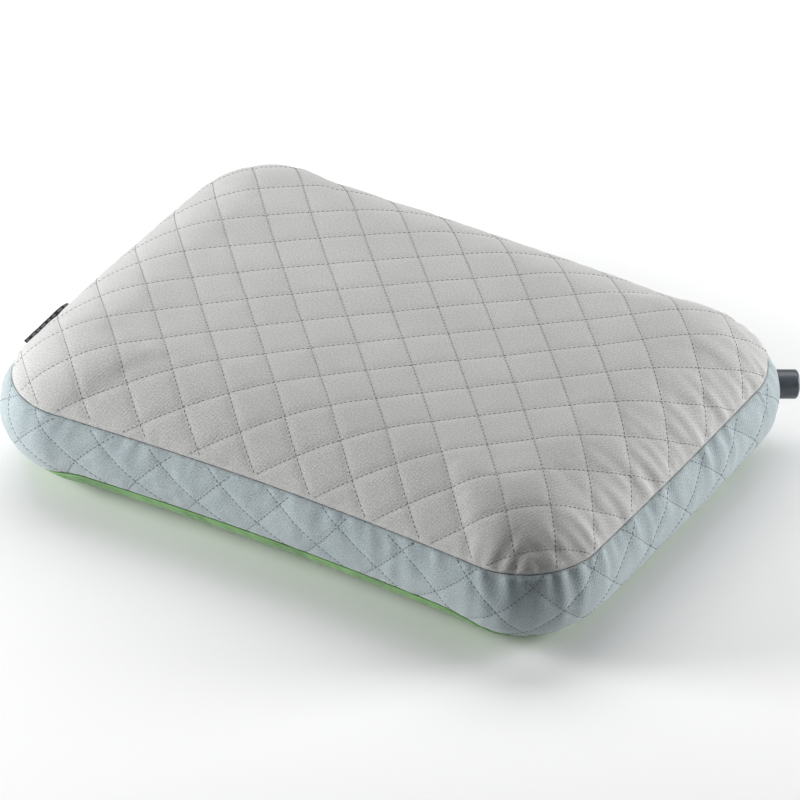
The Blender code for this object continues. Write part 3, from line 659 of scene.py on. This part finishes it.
def settle(mesh, held):
    """Air pressure and a little spare cloth, at ten times the size, where the solver is at its best."""
    work = mesh.copy()
    points = np.empty(len(work.vertices) * 3)
    work.vertices.foreach_get("co", points)
    work.vertices.foreach_set("co", points * GROWN)
    o = bpy.data.objects.new("settling", work)
    bpy.context.scene.collection.objects.link(o)
    group = o.vertex_groups.new(name="held")
    group.add([int(v) for v in np.flatnonzero(held)], 1.0, "REPLACE")
    cloth = o.modifiers.new("cloth", "CLOTH")
    s = cloth.settings
    s.quality, s.mass = 5, 0.25
    s.tension_stiffness = s.compression_stiffness = 25.0
    s.shear_stiffness, s.bending_stiffness = 10.0, 0.8
    s.vertex_group_mass = "held"
    s.use_pressure = True
    s.uniform_pressure_force = 0.5
    s.shrink_min = -0.006
    s.effector_weights.gravity = 0.0
    cloth.collision_settings.use_collision = False
    scene = bpy.context.scene
    for f in range(1, FRAMES + 1):
        scene.frame_set(f)
    out = applied(o)
    out.vertices.foreach_get("co", points)
    scene.frame_set(1)
    bpy.data.objects.remove(o)
    return points.reshape(-1, 3) / GROWN / MM


def wadding_under(name, mesh, rows, pitch, seam_of):
    """The wadding inside a panel: as thick as the cell's loft, pinched thin under every stitch line."""
    points, normals, faces, flat = arrays(mesh)
    loft = WAD_PINCHED + WAD_LOFT * loft_share(rows, flat, pitch, seam_of(flat))
    points = points - normals * (FACE + WAD_UNDER)
    return shell(name + "_wadding", points, normals, faces, flat, loft[:, None], WADDING)


def cushion(name, flat, solid, faces, rows, pitch, seam_of, gather, material):
    """A quilted panel from its flat layout: puffed, settled, subdivided, creased and given a thickness."""
    mesh = mesh_of(name + "_base", solid, faces, flat)
    if name == "side_band_quilted":
        worked(mesh, merge_within(0.02))  # the two ends of the strip become one
    points, normals, faces, flat = arrays(mesh)
    points = puffed(points, normals, rows, flat, pitch, seam_of(flat))
    mesh.vertices.foreach_set("co", (points * MM).ravel())
    mesh.update()
    near = np.minimum(*line_distance(rows, flat, pitch))
    held = (near < HELD_LINE) | (seam_of(flat) < HELD_SEAM)
    moved = settle(mesh, held) - points
    far = np.linalg.norm(moved, axis=1)
    moved *= (np.minimum(far, SWELL) / np.maximum(far, 1e-6))[:, None]
    print(name, "settled by up to", round(float(far.max()), 2), "mm, mean", round(float(far.mean()), 2))
    points = points + moved
    mesh.vertices.foreach_set("co", (points * MM).ravel())
    mesh.update()
    pad = wadding_under(name, mesh, rows, pitch, seam_of)
    o = show(name + "_coarse", mesh, material)
    o.modifiers.new("finer", "SUBSURF").levels = 1
    fine = applied(o)
    bpy.data.objects.remove(o)
    points, normals, faces, flat = arrays(fine)
    seam = seam_of(flat)
    near = np.minimum(*line_distance(rows, flat, pitch))
    crease = -CREASE * np.exp(-((near / CREASE_WIDTH) ** 2))
    pucker = PUCKER * bumpy(points, PUCKER_SIZE, 3.0) * np.exp(-near / PUCKER_REACH)
    uneven = UNEVEN * bumpy(points, UNEVEN_SIZE, 5.0)
    pull = gather(flat, points) * smooth_step(seam, 0.0, 3.0)
    roll = -ROLL * (1 - smooth_step(seam, 0.0, ROLL_WIDTH))
    calm = smooth_step(seam, 0.0, 6.0)
    lift = np.maximum((crease + pucker + uneven) * calm + pull, DEEPEST) + roll
    points = points + normals * lift[:, None]
    made = shell(name, points, normals, faces, flat, FACE, material)
    print(name, len(made.data.polygons), "faces")
    return made, pad, ClothMap(flat, np.concatenate([points, normals], 1), faces)


# %% [markdown]
# ### Top panel
# One piece of light grey cloth from seam to seam. Its edge is eased into the seam at the corners and
# along the end with the valve, which shows as short folds that run square to the seam.

# %% Cut and quilt the top panel
def resampled(line, step):
    """The same line with points about this far apart."""
    run = np.r_[0.0, np.cumsum(np.hypot(*np.diff(line, axis=0).T))]
    n = max(2, int(round(run[-1] / step)) + 1)
    at = np.linspace(0.0, run[-1], n)
    return np.stack([np.interp(at, run, line[:, k]) for k in (0, 1)], 1)


def closed_loop(points, step):
    return resampled(np.vstack([points, points[:1]]), step)[:-1]


def seam_distance(lines):
    """A function that measures how far flat places are from the nearest of these seams."""
    edge = np.concatenate([resampled(line, 1.5) for line in lines])

    def measure(flat, batch=2000):
        out = np.empty(len(flat))
        for k in range(0, len(flat), batch):
            part = flat[k:k + batch, None]
            out[k:k + batch] = np.hypot(part[..., 0] - edge[:, 0], part[..., 1] - edge[:, 1]).min(1)
        return out
    return measure


SEAM_HALF_GAP = 0.12  # degrees of latitude between the cut edge and the seam
MESH_STEP = 31.2 / STEPS
EDGE_MARGIN = MESH_STEP * 0.45
top_edge = unrolled(RUN[:-1], np.full(len(RUN) - 1, TOP_SEAM_LAT + SEAM_HALF_GAP))
top_loop = closed_loop(top_edge, MESH_STEP)
grid = np.arange(-11 * STEPS, 11 * STEPS + 1)
flat, faces = lay_out([top_loop], top_rows, grid, grid, EDGE_MARGIN)
solid = TOP_MAP.at(flat)
print("top panel", len(flat), "points,", len(faces), "faces")


FOLD_SPACING, FOLD_LENGTH = 8.5, 45.0


def folds(along, seam, reach, seed):
    """Short folds square to a seam: noise along it, stretched away from it, dying out with distance."""
    stretched = np.stack([along / FOLD_SPACING, seam / FOLD_LENGTH, np.zeros_like(seam)], 1)
    ridges = bumpy(stretched, 1.0, seed)
    ridges = np.sign(ridges) * np.abs(ridges) ** 0.8
    return ridges * np.exp(-seam / reach)


top_seam_of = seam_distance([np.vstack([top_loop, top_loop[:1]])])


def top_gather(flat, points):
    seam = top_seam_of(flat)
    by_an_end = np.abs(flat[:, 0]) / HALF_LENGTH > np.abs(flat[:, 1]) / HALF_WIDTH
    along = np.where(by_an_end, flat[:, 1], flat[:, 0])
    right = smooth_step(points[:, 0], 120.0, 215.0)  # the end with the valve is gathered the most
    return folds(along, seam, 15.0 + 14.0 * right, 7.0) * (0.10 + 2.0 * right)


TOP, TOP_PAD, TOP_CLOTH_MAP = cushion("top_panel_quilted", flat, solid, faces, top_rows, TOP_PITCH,
                                      top_seam_of, top_gather, TOP_CLOTH)
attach(TOP, "root")
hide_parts("cover_top_panel")
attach(TOP_PAD, "root")
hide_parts("top_wadding")

# %% [markdown]
# ### Side band
# One strip of the top's cloth, once round the pillow, sewn to the top panel above and to the
# base below. Its cooler, darker grey is painted shade for the cool light on the upright sides. It has a
# round hole for the valve and a long window for the zip.

# %% Cut and quilt the band
VALVE_AT = 42.0  # degrees round the back corner
VALVE_RUN = CORNER_R * math.radians(VALVE_AT)
VALVE_M = -1.4
HOLE_R = 10.7
BACK_MIDDLE = CORNER_R * math.pi / 2 + HALF_LENGTH - CORNER_R  # a quarter turn, then half the side
ZIP_HALF_WINDOW, ZIP_WINDOW = 140.0, 6.0
EDGE_STEPS, END_STEPS = BAND_CELLS * 12, 12  # points along the strip's long edges and across its ends


def band_outline():
    """The strip from run 0 to the full way round, with its two ends divided alike so that they join."""
    runs = np.linspace(0.0, ROUND, EDGE_STEPS + 1)
    top = float(np.interp(TOP_SEAM_LAT - SEAM_HALF_GAP, UP_LAT, UP_LEN))
    bottom = -np.interp(-low_seam(runs) - SEAM_HALF_GAP, DOWN_LAT, DOWN_LEN)
    lower = np.stack([runs, bottom], 1)
    upper = np.stack([runs[::-1], np.full(len(runs), top)], 1)
    ends = np.linspace(bottom[0], top, END_STEPS + 1)[1:-1]
    right = np.stack([np.full(len(ends), ROUND), ends], 1)
    left = np.stack([np.zeros(len(ends)), ends[::-1]], 1)
    return np.concatenate([lower, right, upper, left])


def circle(x, y, r, n):
    a = np.linspace(0.0, 2 * np.pi, n, endpoint=False)
    return np.stack([x + r * np.cos(a), y + r * np.sin(a)], 1)


def slot_loop(x, y, half, high, corner):
    """A long window with rounded corners."""
    points = []
    for sx, sy, start in ((1, 1, 0), (-1, 1, 90), (-1, -1, 180), (1, -1, 270)):
        a = np.radians(start + np.linspace(0, 90, 5))
        points.append(np.stack([x + sx * (half - corner) + corner * np.cos(a),
                                y + sy * (high - corner) + corner * np.sin(a)], 1))
    return closed_loop(np.concatenate(points), 3.0)


outline = band_outline()
valve_loop = circle(VALVE_RUN, VALVE_M, HOLE_R, 28)
zip_loop = slot_loop(BACK_MIDDLE, 0.0, ZIP_HALF_WINDOW, ZIP_WINDOW, 2.0)
first = math.floor(-BAND_FROM / BAND_REPEAT) - 3  # the lowest row number that reaches the strip
grid = np.arange(first * STEPS, (first + BAND_CELLS + 8) * STEPS + 1)
band_loops = [outline, valve_loop, zip_loop]
flat, faces = lay_out(band_loops, band_rows, grid, grid, EDGE_MARGIN)
print("band", len(flat), "points,", len(faces), "faces")
lower_edge, upper_edge = outline[:EDGE_STEPS + 1], outline[EDGE_STEPS + END_STEPS:1 - END_STEPS]
band_seam_of = seam_distance([lower_edge, upper_edge, valve_loop, zip_loop])


def band_gather(flat, points):
    top = float(np.interp(TOP_SEAM_LAT, UP_LAT, UP_LEN))
    below = top - flat[:, 1]
    right = smooth_step(points[:, 0], 60.0, 190.0)
    pulled = 1.3 * folds(flat[:, 0], below, 24.0, 11.0) * (0.7 + 1.1 * right)
    hem = np.hypot(flat[:, 0] - VALVE_RUN, flat[:, 1] - VALVE_M) - HOLE_R
    return pulled + 0.8 * np.exp(-np.maximum(hem, 0.0) / 4.0)


band_pitch = (BAND_REPEAT / 1.5, BAND_REPEAT / 1.5)
BAND, BAND_PAD, BAND_CLOTH_MAP = cushion("side_band_quilted", flat, band_solid(flat), faces, band_rows,
                                         band_pitch, band_seam_of, band_gather, BAND_CLOTH)
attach(BAND, "root")
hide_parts("cover_side_band")
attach(BAND_PAD, "root")
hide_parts("band_wadding")

# %% [markdown]
# ### Stitches
# The rows are sewn with a lockstitch about three millimetres long. Each stitch is a short strand that
# comes up out of the cloth, lies on it under tension and goes down again, so it is a small tapered
# tube with both ends below the surface. All the stitches of a panel are one piece.

# %% Sew the rows
def tube_faces(rings, sides, first):
    """Faces of one tube whose points start at this number, with both its ends closed."""
    last = first + (rings - 1) * sides
    ends = [tuple(first + q for q in range(sides)), tuple(last + q for q in reversed(range(sides)))]
    return grid_faces(rings, sides, round_m=True, first=first) + ends


STITCH, STITCH_GAP, THREAD_R = 2.6, 0.8, 0.27
SHARES = (0.0, 0.2, 0.8, 1.0)  # places along a stitch: in the cloth, up, still up, in the cloth again
STITCH_RINGS = ((0.35, -0.25), (1.0, 0.12), (1.0, 0.12), (0.35, -0.25))  # share of THREAD_R, and height
STITCH_SIDES = 4


def stitches_along(x, y):
    """The places of each stitch along a flat line."""
    line = np.stack([x, y], 1)
    run = np.r_[0.0, np.cumsum(np.hypot(*np.diff(line, axis=0).T))]
    at = np.arange(0.0, run[-1], STITCH + STITCH_GAP)[:, None] + STITCH * np.array(SHARES)
    return np.stack([np.interp(at, run, line[:, k]) for k in (0, 1)], -1)


def on_panel(places, loops, seam_of):
    """Only the stitches that the cut panel keeps, none of them in its seams."""
    start = places[:, 1]
    return places[within(loops, start[:, 0], start[:, 1]) & (seam_of(start) > 2.0)]


def strands(name, flat, cloth_map, material):
    count = len(flat)
    found = cloth_map.at(flat.reshape(-1, 2))
    place, normal = (part.reshape(count, len(SHARES), 3) for part in (found[:, :3], found[:, 3:]))
    normal /= np.linalg.norm(normal, axis=2, keepdims=True)
    along = place[:, -1] - place[:, 0]
    length = np.linalg.norm(along, axis=1)
    good = (length > STITCH * 0.5) & (length < STITCH * 1.5)
    place, normal, along = place[good], normal[good], (along / length[:, None])[good]
    side = np.cross(normal[:, 1], along)
    points, faces = [], []
    for p, n, s in zip(place, normal, side):
        faces += tube_faces(len(STITCH_RINGS), STITCH_SIDES, len(points))
        for k, (swell, lift) in enumerate(STITCH_RINGS):
            for q in range(STITCH_SIDES):
                a = 2 * math.pi * q / STITCH_SIDES
                up, out = (THREAD_R * swell * f(a) for f in (math.sin, math.cos))
                points.append(p[k] + n[k] * (lift + up) + s * out)
    print(name, len(place), "stitches")
    return show(name, mesh_of(name, np.array(points), faces), material)


across = np.linspace(-10.5, 10.5, 1400)  # row numbers from one edge of the panel to the other
sewn = []
for family in (0, 1):
    for number in range(-10, 11):
        row = np.full(len(across), float(number))
        pair = (row, across) if family == 0 else (across, row)
        sewn.append(stitches_along(*place_of(top_rows, *pair)))
top_places = on_panel(np.concatenate(sewn), [top_loop], top_seam_of)
TOP_STITCHES = strands("top_panel_stitching", top_places, TOP_CLOTH_MAP, THREAD)
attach(TOP_STITCHES, "root")

level = np.linspace(-45.0, 26.0, 600)  # from below the band to above it
sewn = []
for family in (0, 1):
    for number in range(first, first + BAND_CELLS + 6):
        run = np.full(len(level), BAND_FROM + number * BAND_REPEAT)
        for _ in range(20):
            run = run - (band_rows(run, level)[family] - number) * BAND_REPEAT
        sewn.append(stitches_along(run, level))
band_places = on_panel(np.concatenate(sewn), band_loops, band_seam_of)
BAND_STITCHES = strands("side_band_stitching", band_places, BAND_CLOTH_MAP, THREAD_BAND_PAINTED_COOL_SHADE)
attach(BAND_STITCHES, "root")

# %% [markdown]
# ### Base panel
# A plain, unquilted panel, flat where the pillow rests on it. Its rim turns up, most of all along the
# front and the back, and is drawn into the seam in small puckers. No more than that shows from above.

# %% Cut the base panel
def base_panel():
    columns, edge_rows, flat_rows = 480, 16, 9
    runs = np.linspace(0.0, ROUND, columns, endpoint=False)
    rows = []
    start = low_seam(runs) - SEAM_HALF_GAP
    for f in np.linspace(0.0, 1.0, edge_rows) ** 1.3:
        rows.append((runs, start + (-90.0 - start) * f))
    for f in np.linspace(0.0, 0.97, flat_rows)[1:]:
        rows.append((runs, np.full(columns, -90.0 - 100.0 * f)))
    points = np.concatenate([surface(s, l) for s, l in rows] + [surface(0.0, -190.0)[None]])
    faces = grid_faces(len(rows), columns, round_m=True)
    last = (len(rows) - 1) * columns
    for c in range(columns):
        faces.append((last + c, len(points) - 1, last + (c + 1) % columns))
    along = np.concatenate([s for s, _ in rows] + [[0.0]])
    seam = np.linalg.norm(points - surface(along, low_seam(along) - SEAM_HALF_GAP), axis=1)
    mesh = mesh_of("base", points, faces, points[:, :2])
    _, normals, faces, flat = arrays(mesh)
    turn = along / ROUND * 2 * np.pi
    closing = np.stack([np.cos(turn), np.sin(turn)], 1) * ROUND / 2 / np.pi
    pucker = bumpy(np.concatenate([closing / 6.0, seam[:, None] / 30.0], 1), 1.0, 2.0)
    pucker = 1.2 * pucker * np.exp(-seam / 12.0) * smooth_step(seam, 0.0, 2.0)
    lift = pucker - 0.5 * (1 - smooth_step(seam, 0.0, 2.0))
    rest = smooth_step(points[:, 2], 0.5, 6.0)
    points = points + normals * (lift * rest)[:, None]
    points[:, 2] = np.maximum(points[:, 2], 0.02)
    return shell("base_panel", points, normals, faces, flat, FACE, BASE_CLOTH)


BASE = base_panel()
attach(BASE, "root")
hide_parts("cover_base_panel")

# %% [markdown]
# ### Label
# A woven tape folded double and caught in the top seam of the short side, so its fold points out. It
# is black, with a row of small light marks woven in; they stand for a printed name without being one.
# It narrows a little at one end.

# %% Label
LABEL_FROM, LABEL_TO, LABEL_OUT, LABEL_TILT = -99.5, -48.5, 3.2, 12.0
LABEL_SEWN = 2.0  # how far it reaches into the seam


def label_finish():
    material, tree, shader = surface_of("black_woven_label", "#101012", 0.8, Sheen_Weight=0.05, IOR=1.5)
    where = add(tree, "ShaderNodeTexCoord").outputs["UV"]
    parts = add(tree, "ShaderNodeSeparateXYZ", [(where, "Vector")])
    # marks about 2 mm long, set 3.4 mm apart and broken up by distortion so that no two are alike
    bars = add(tree, "ShaderNodeTexWave", [(where, "Vector")], bands_direction="X",
               Scale=waves_per(3.4), Distortion=6.0, Detail=2.0, Detail_Scale=2.5)
    lit = add(tree, "ShaderNodeMath", [(bars.outputs["Fac"], 0)], operation="GREATER_THAN")
    lit.inputs[1].default_value = 0.3
    # the row runs along both faces, the same way in from the fold
    inward = add(tree, "ShaderNodeMath", [(parts.outputs["Y"], 0)], operation="ABSOLUTE")
    row = add(tree, "ShaderNodeMath", [(inward.outputs[0], 0)], operation="COMPARE")
    row.inputs[1].default_value, row.inputs[2].default_value = 1.2 * MM, 0.45 * MM
    mask = add(tree, "ShaderNodeMath", [(row.outputs[0], 0), (lit.outputs[0], 1)], operation="MULTIPLY")
    mix = add(tree, "ShaderNodeMix", [(mask.outputs[0], 0)], data_type="RGBA")
    mix.inputs[6].default_value = linear("#101012")
    mix.inputs[7].default_value = linear("#66686a")
    tree.links.new(mix.outputs[2], shader.inputs["Base Color"])
    ribs = add(tree, "ShaderNodeTexWave", [(where, "Vector")], bands_direction="X",
               Scale=waves_per(0.7), Distortion=0.3)
    relief(tree, shader, ribs.outputs["Fac"], 0.08)
    return material


def label():
    """The fold's outline, a U lying on its side, carried along the seam."""
    outer = [(0.0, -1.0), (0.35, -1.0), (0.7, -0.98)]
    bend = [(0.82 + 0.18 * math.cos(a), math.sin(a)) for a in np.linspace(-1.4, 1.4, 7)]
    outer += bend + [(u, -v) for u, v in reversed(outer)]
    inner = [(0.0, 0.3), (0.4, 0.32), (0.75, 0.3), (0.84, 0.0)]
    outline = outer + inner + [(u, -v) for u, v in reversed(inner[:-1])]
    steps, tilt = 90, math.radians(LABEL_TILT)
    out = np.array([-math.cos(tilt), 0.0, math.sin(tilt)])
    up = np.array([math.sin(tilt), 0.0, math.cos(tilt)])
    side_start = float(RUN[np.argmax(TURNS >= 180.0)])
    points, flat = [], []
    for k in range(steps + 1):
        share = k / steps
        y = LABEL_FROM + (LABEL_TO - LABEL_FROM) * share
        foot = surface(side_start + HALF_WIDTH - CORNER_R - y * 1.045, TOP_SEAM_LAT)
        wave = 0.35 * noise.noise(Vector((y / 11.0, 0.0, 3.0)))
        end = 1.0 - 0.20 * float(smooth_step(share, 0.88, 1.0))
        thick = 1.0 - 0.30 * float(smooth_step(share, 0.9, 1.0))
        for u, v in outline:
            reach = -LABEL_SEWN + (LABEL_OUT + LABEL_SEWN + wave) * u * end
            opened = thick * (0.55 + 0.45 * min(1.0, 2.0 * u + 0.2))
            points.append(foot + out * reach + up * (v * opened + wave * u))
            flat.append((y, LABEL_OUT * (1 - u) * (1 if v > 0 else -1)))
    n = len(outline)
    faces = grid_faces(steps + 1, n, round_m=True)

    def close_ends(bm):
        for ring in (0, steps):
            bm.verts.ensure_lookup_table()
            loop = [bm.verts[ring * n + i] for i in range(n)]
            edges = [bm.edges.get((loop[i], loop[(i + 1) % n])) for i in range(n)]
            bmesh.ops.triangle_fill(bm, edges=edges)
        turn_outwards(bm)

    source = mesh_of("label", points, faces, flat)
    mesh = worked(bpy.data.meshes.new("folded_label"), close_ends, source)
    return show("folded_label", mesh, label_finish())


LABEL = label()
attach(LABEL, "root")
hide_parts("label")

# %% [markdown]
# ### Valve cap
# A turned shape, so it is drawn as a half section and swept round its axis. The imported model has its
# sizes; here it gets rounded edges, a dished front and a smooth wall.

# %% Cap of the valve
VALVE_DROOP, VALVE_DEPTH = 7.5, 10.0
CAP_BACK, CAP_END, CAP_R, MOUTH_R = 6.0, 23.8, 10.0, 3.5
RING_AT, GROOVE_HALF, GROOVE_R = 12.5, 0.7, 8.8  # the groove that holds the seal ring
INNER_FACE = CAP_END - 2.5
BORE_R, BACK_HOLE_R = 7.8, 6.3
TURN_STEPS = 96
valve_origin = surface(VALVE_RUN, 0.0, VALVE_DEPTH)
VALVE_PLACE = (Matrix.Translation(Vector(valve_origin)) @ Matrix.Rotation(math.radians(VALVE_AT), 4, "Z")
               @ Matrix.Rotation(math.radians(VALVE_DROOP), 4, "Y"))


def arc(t, r, radius, start, end, n=6):
    """Part of a circle in the half section, by angles in degrees."""
    angles = np.radians(np.linspace(start, end, n))
    return [(t + radius * math.cos(a), r + radius * math.sin(a)) for a in angles]


def turned(name, profile, material):
    """A closed half section swept round the valve's axis."""
    angles = [2 * math.pi * k / TURN_STEPS for k in range(TURN_STEPS)]
    points = [VALVE_PLACE @ Vector((t, r * math.cos(a), r * math.sin(a)))
              for t, r in profile for a in angles]
    faces = grid_faces(len(profile), TURN_STEPS, round_n=True, round_m=True)
    mesh = worked(mesh_of(name, points, faces), turn_outwards)
    mesh.set_sharp_from_angle(angle=math.radians(40))
    return show(name, mesh, material)


cap_profile = [(CAP_BACK, BACK_HOLE_R)] + arc(CAP_BACK + 0.5, CAP_R - 0.5, 0.5, 180, 90)
cap_profile += [(12.0, CAP_R), (18.0, CAP_R)] + arc(CAP_END - 1.7, CAP_R - 1.7, 1.7, 90, 0, 10)
cap_profile += arc(CAP_END - 0.3, CAP_R - 2.6, 0.3, 0, -90, 5)  # the rim of the dished front
cap_profile += [(CAP_END - 0.6, CAP_R - 3.2), (CAP_END - 0.6, MOUTH_R + 0.4), (CAP_END - 0.9, MOUTH_R)]
cap_profile += [(INNER_FACE, MOUTH_R), (INNER_FACE, BORE_R)]
cap_profile += [(RING_AT + GROOVE_HALF, BORE_R), (RING_AT + GROOVE_HALF, GROOVE_R)]
cap_profile += [(RING_AT - GROOVE_HALF, GROOVE_R), (RING_AT - GROOVE_HALF, BORE_R)]
cap_profile += [(CAP_BACK + 1.5, BORE_R), (CAP_BACK + 1.5, BACK_HOLE_R)]
CAP = turned("valve_twist_cap", cap_profile, ABS)
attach(CAP, "valve_cap")
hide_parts("valve_cap")

# %% [markdown]
# ### Zip
# The zip lies in a slot in the back of the band. Two woven tapes carry a coil each, a monofilament
# wound into loops. Each loop is a bent tube, and the loops of one side stand half a step from those
# of the other. The slider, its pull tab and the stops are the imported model's own, with softened edges.

# %% Zip tapes and coils
ZIP_HALF, TAPE_INNER, TAPE_OUTER, TAPE_DEPTH, TAPE_T = 135.0, 0.75, 12.0, 1.5, 0.6
COIL_STEP, COIL_R = 1.2, 0.30


def wall_y(z, depth):
    """Y of the back wall at this height and depth."""
    up = np.asarray(z) >= EQUATOR_Z
    t = np.arcsin(np.clip((np.abs(z - EQUATOR_Z)) / np.where(up, SHOULDER_UP, EQUATOR_Z), 0, 1))
    return HALF_WIDTH - np.where(up, SHOULDER_IN, UNDER_IN) * (1 - np.cos(t)) - depth


def tape(side):
    across = EQUATOR_Z + side * np.linspace(TAPE_INNER, TAPE_OUTER, 10)
    along = np.linspace(-ZIP_HALF - 4.0, ZIP_HALF + 4.0, 140)
    x, z = np.meshgrid(along, across, indexing="ij")
    ripple = 0.10 * np.sin(x / 9.0) * np.sin(x / 23.0)
    points = np.stack([x, wall_y(z, TAPE_DEPTH + 0.1) + ripple * 0.5, z], -1).reshape(-1, 3)
    faces = grid_faces(*x.shape)
    normals = np.tile([0.0, 1.0, 0.0], (len(points), 1))
    corners = points[list(faces[0])]
    if np.cross(corners[1] - corners[0], corners[2] - corners[1])[1] < 0:
        faces = [tuple(reversed(f)) for f in faces]  # turned to face out of the pillow
    return shell("zip_tape_" + ("upper" if side > 0 else "lower") + "_cloth", points, normals, faces,
                 points[:, [0, 2]], TAPE_T - 0.1, TAPE)


def coil(side):
    """Every loop of one coil, each a tube bent round from the tape to the middle and back."""
    points, faces = [], []
    start = -ZIP_HALF + 0.6 + (COIL_STEP / 2 if side > 0 else 0.0)
    turns = np.linspace(-0.5 * math.pi, 0.5 * math.pi, 7)
    bend = [(1.55 - 0.42 * math.cos(a), 0.30 * math.sin(a) - 0.55) for a in turns]
    path, sides = [(2.35, -0.85)] + bend + [(2.35, -0.25)], 6
    for x in np.arange(start, ZIP_HALF - 0.5, COIL_STEP):
        faces += tube_faces(len(path), sides, len(points))
        for k, (v, y) in enumerate(path):
            a, b = path[max(0, k - 1)], path[min(len(path) - 1, k + 1)]
            d = np.array([b[0] - a[0], b[1] - a[1]])
            d /= np.linalg.norm(d)
            lean = 0.18 * (k - len(path) / 2) / len(path)
            for q in range(sides):
                w = 2 * math.pi * q / sides
                off = COIL_R * math.sin(w)
                points.append((x + lean + COIL_R * math.cos(w), HALF_WIDTH + y + off * d[0],
                               EQUATOR_Z + side * (v - off * d[1])))
    mesh = worked(mesh_of("coil", points, faces), turn_outwards)
    return show("zip_coil_" + ("upper" if side > 0 else "lower") + "_loops", mesh, COIL)


for word, side in (("upper", 1), ("lower", -1)):
    cloth, loops = tape(side), coil(side)
    for piece, slot in ((cloth, "zip_tape"), (loops, "zip_coil")):
        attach(piece, "root")
        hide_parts(slot + "_" + word)

# %% [markdown]
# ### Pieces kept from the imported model
# Hard pieces whose shape is already right stay. A small bevel takes the knife edge off them, as a
# mould or a tumbling barrel would, and each gets its finish.

# %% Hard pieces
HARD = {
    "valve_body": (ABS, 0.25), "valve_o_ring": (RUBBER, 0.0), "valve_plug_seal": (RUBBER, 0.15),
    "zip_slider": (ZINC, 0.2), "zip_pull_tab": (ZINC, 0.25), "zip_bottom_stop": (ZINC, 0.3),
    "zip_top_stop_upper": (ZINC, 0.3), "zip_top_stop_lower": (ZINC, 0.3),
}
for node, (material, edge) in HARD.items():
    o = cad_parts[node]
    o.data.materials.clear()
    o.data.materials.append(material)
    if edge:
        bevel = o.modifiers.new("softened", "BEVEL")
        bevel.width, bevel.segments, bevel.limit_method = edge * MM, 2, "ANGLE"
        bevel.angle_limit = math.radians(35)
        bevel.harden_normals = False

# %% [markdown]
# ### Bladder and foam
# The foam core is cut roughly to shape and welded into two skins. Inside the cover they only need to
# be smooth and to keep clear of it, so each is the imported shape, subdivided once and softened.

# %% Soft pieces inside
INSIDE = (("bladder_upper_skin", FILM, "coated_skin"), ("bladder_lower_skin", FILM, "coated_skin"),
          ("foam_core", FOAM, "foam"))
for node, material, slot in INSIDE:
    mesh = worked(bpy.data.meshes.new(node + "_soft"), merge_within(0.01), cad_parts[node].data)
    rough = show("rough", mesh, material)
    rough.modifiers.new("finer", "SUBSURF").levels = 1
    soft = applied(rough)
    bpy.data.objects.remove(rough)
    for p in soft.polygons:
        p.use_smooth = True
    piece = show(node + "_soft", soft, material)
    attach(piece, "root")
    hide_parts(node)
    print(piece.name, len(soft.polygons), "faces")

# %% [markdown]
# ## Light, floor and camera
# A plain pale floor and soft light from large panels: one on each side, one above and behind. The
# front corner, which faces away from all of them, is left the darkest.

# %% Stage
def light(name, place, target, size, power):
    data = bpy.data.lights.new(name, "AREA")
    data.shape = "RECTANGLE"
    data.size, data.size_y = size
    data.energy = power
    o = bpy.data.objects.new(name, data)
    o.location = place
    o.rotation_euler = (Vector(target) - Vector(place)).to_track_quat("-Z", "Y").to_euler()
    bpy.context.scene.collection.objects.link(o)


PHI, RISE, DISTANCE = math.radians(31.37), math.radians(35.53), 6.132
RIGHT = Vector((math.cos(PHI), math.sin(PHI), 0.0))
BACK = Vector((math.sin(PHI) * math.cos(RISE), -math.cos(PHI) * math.cos(RISE), math.sin(RISE)))
UP = BACK.cross(RIGHT)


def from_camera(right, up, back):
    return RIGHT * right + UP * up + BACK * back


floor_mesh = bpy.data.meshes.new("floor")
edge, under = 6.0, -0.001  # the floor is a millimetre below the pillow
corners = [(-edge, -edge, under), (edge, -edge, under), (edge, edge, under), (-edge, edge, under)]
floor_mesh.from_pydata(corners, [], [(0, 1, 2, 3)])
FLOOR_PAINT, _, _ = surface_of("matt_white_floor", "#f4f4f4", 0.9)
floor = show("floor", floor_mesh, FLOOR_PAINT)

target = (0.0, 0.0, 0.05)
light("left_panel", from_camera(-1.9, 0.35, 0.25), target, (0.8, 1.4), 67.0)
light("right_panel", from_camera(1.9, 0.35, 0.05), target, (0.8, 1.4), 54.0)
light("top_panel", from_camera(0.0, 1.8, 0.15), target, (2.4, 1.2), 27.0)

world = bpy.data.worlds.new("studio")
bpy.context.scene.world = world
world.use_nodes = True
world.node_tree.nodes["Background"].inputs[0].default_value = linear("#f2f4f6")
world.node_tree.nodes["Background"].inputs[1].default_value = 0.03
bpy.context.scene.view_settings.view_transform = "Standard"

camera_data = bpy.data.cameras.new("camera")
camera_data.sensor_width = 36.0
camera_data.lens = 408.4
camera_data.clip_end = 50.0
camera = bpy.data.objects.new("camera", camera_data)
camera.location = BACK * DISTANCE
aim = RIGHT * 0.00674 + UP * 0.0343
camera.rotation_euler = (aim - camera.location).to_track_quat("-Z", "Y").to_euler()
bpy.context.scene.collection.objects.link(camera)
bpy.context.scene.camera = camera
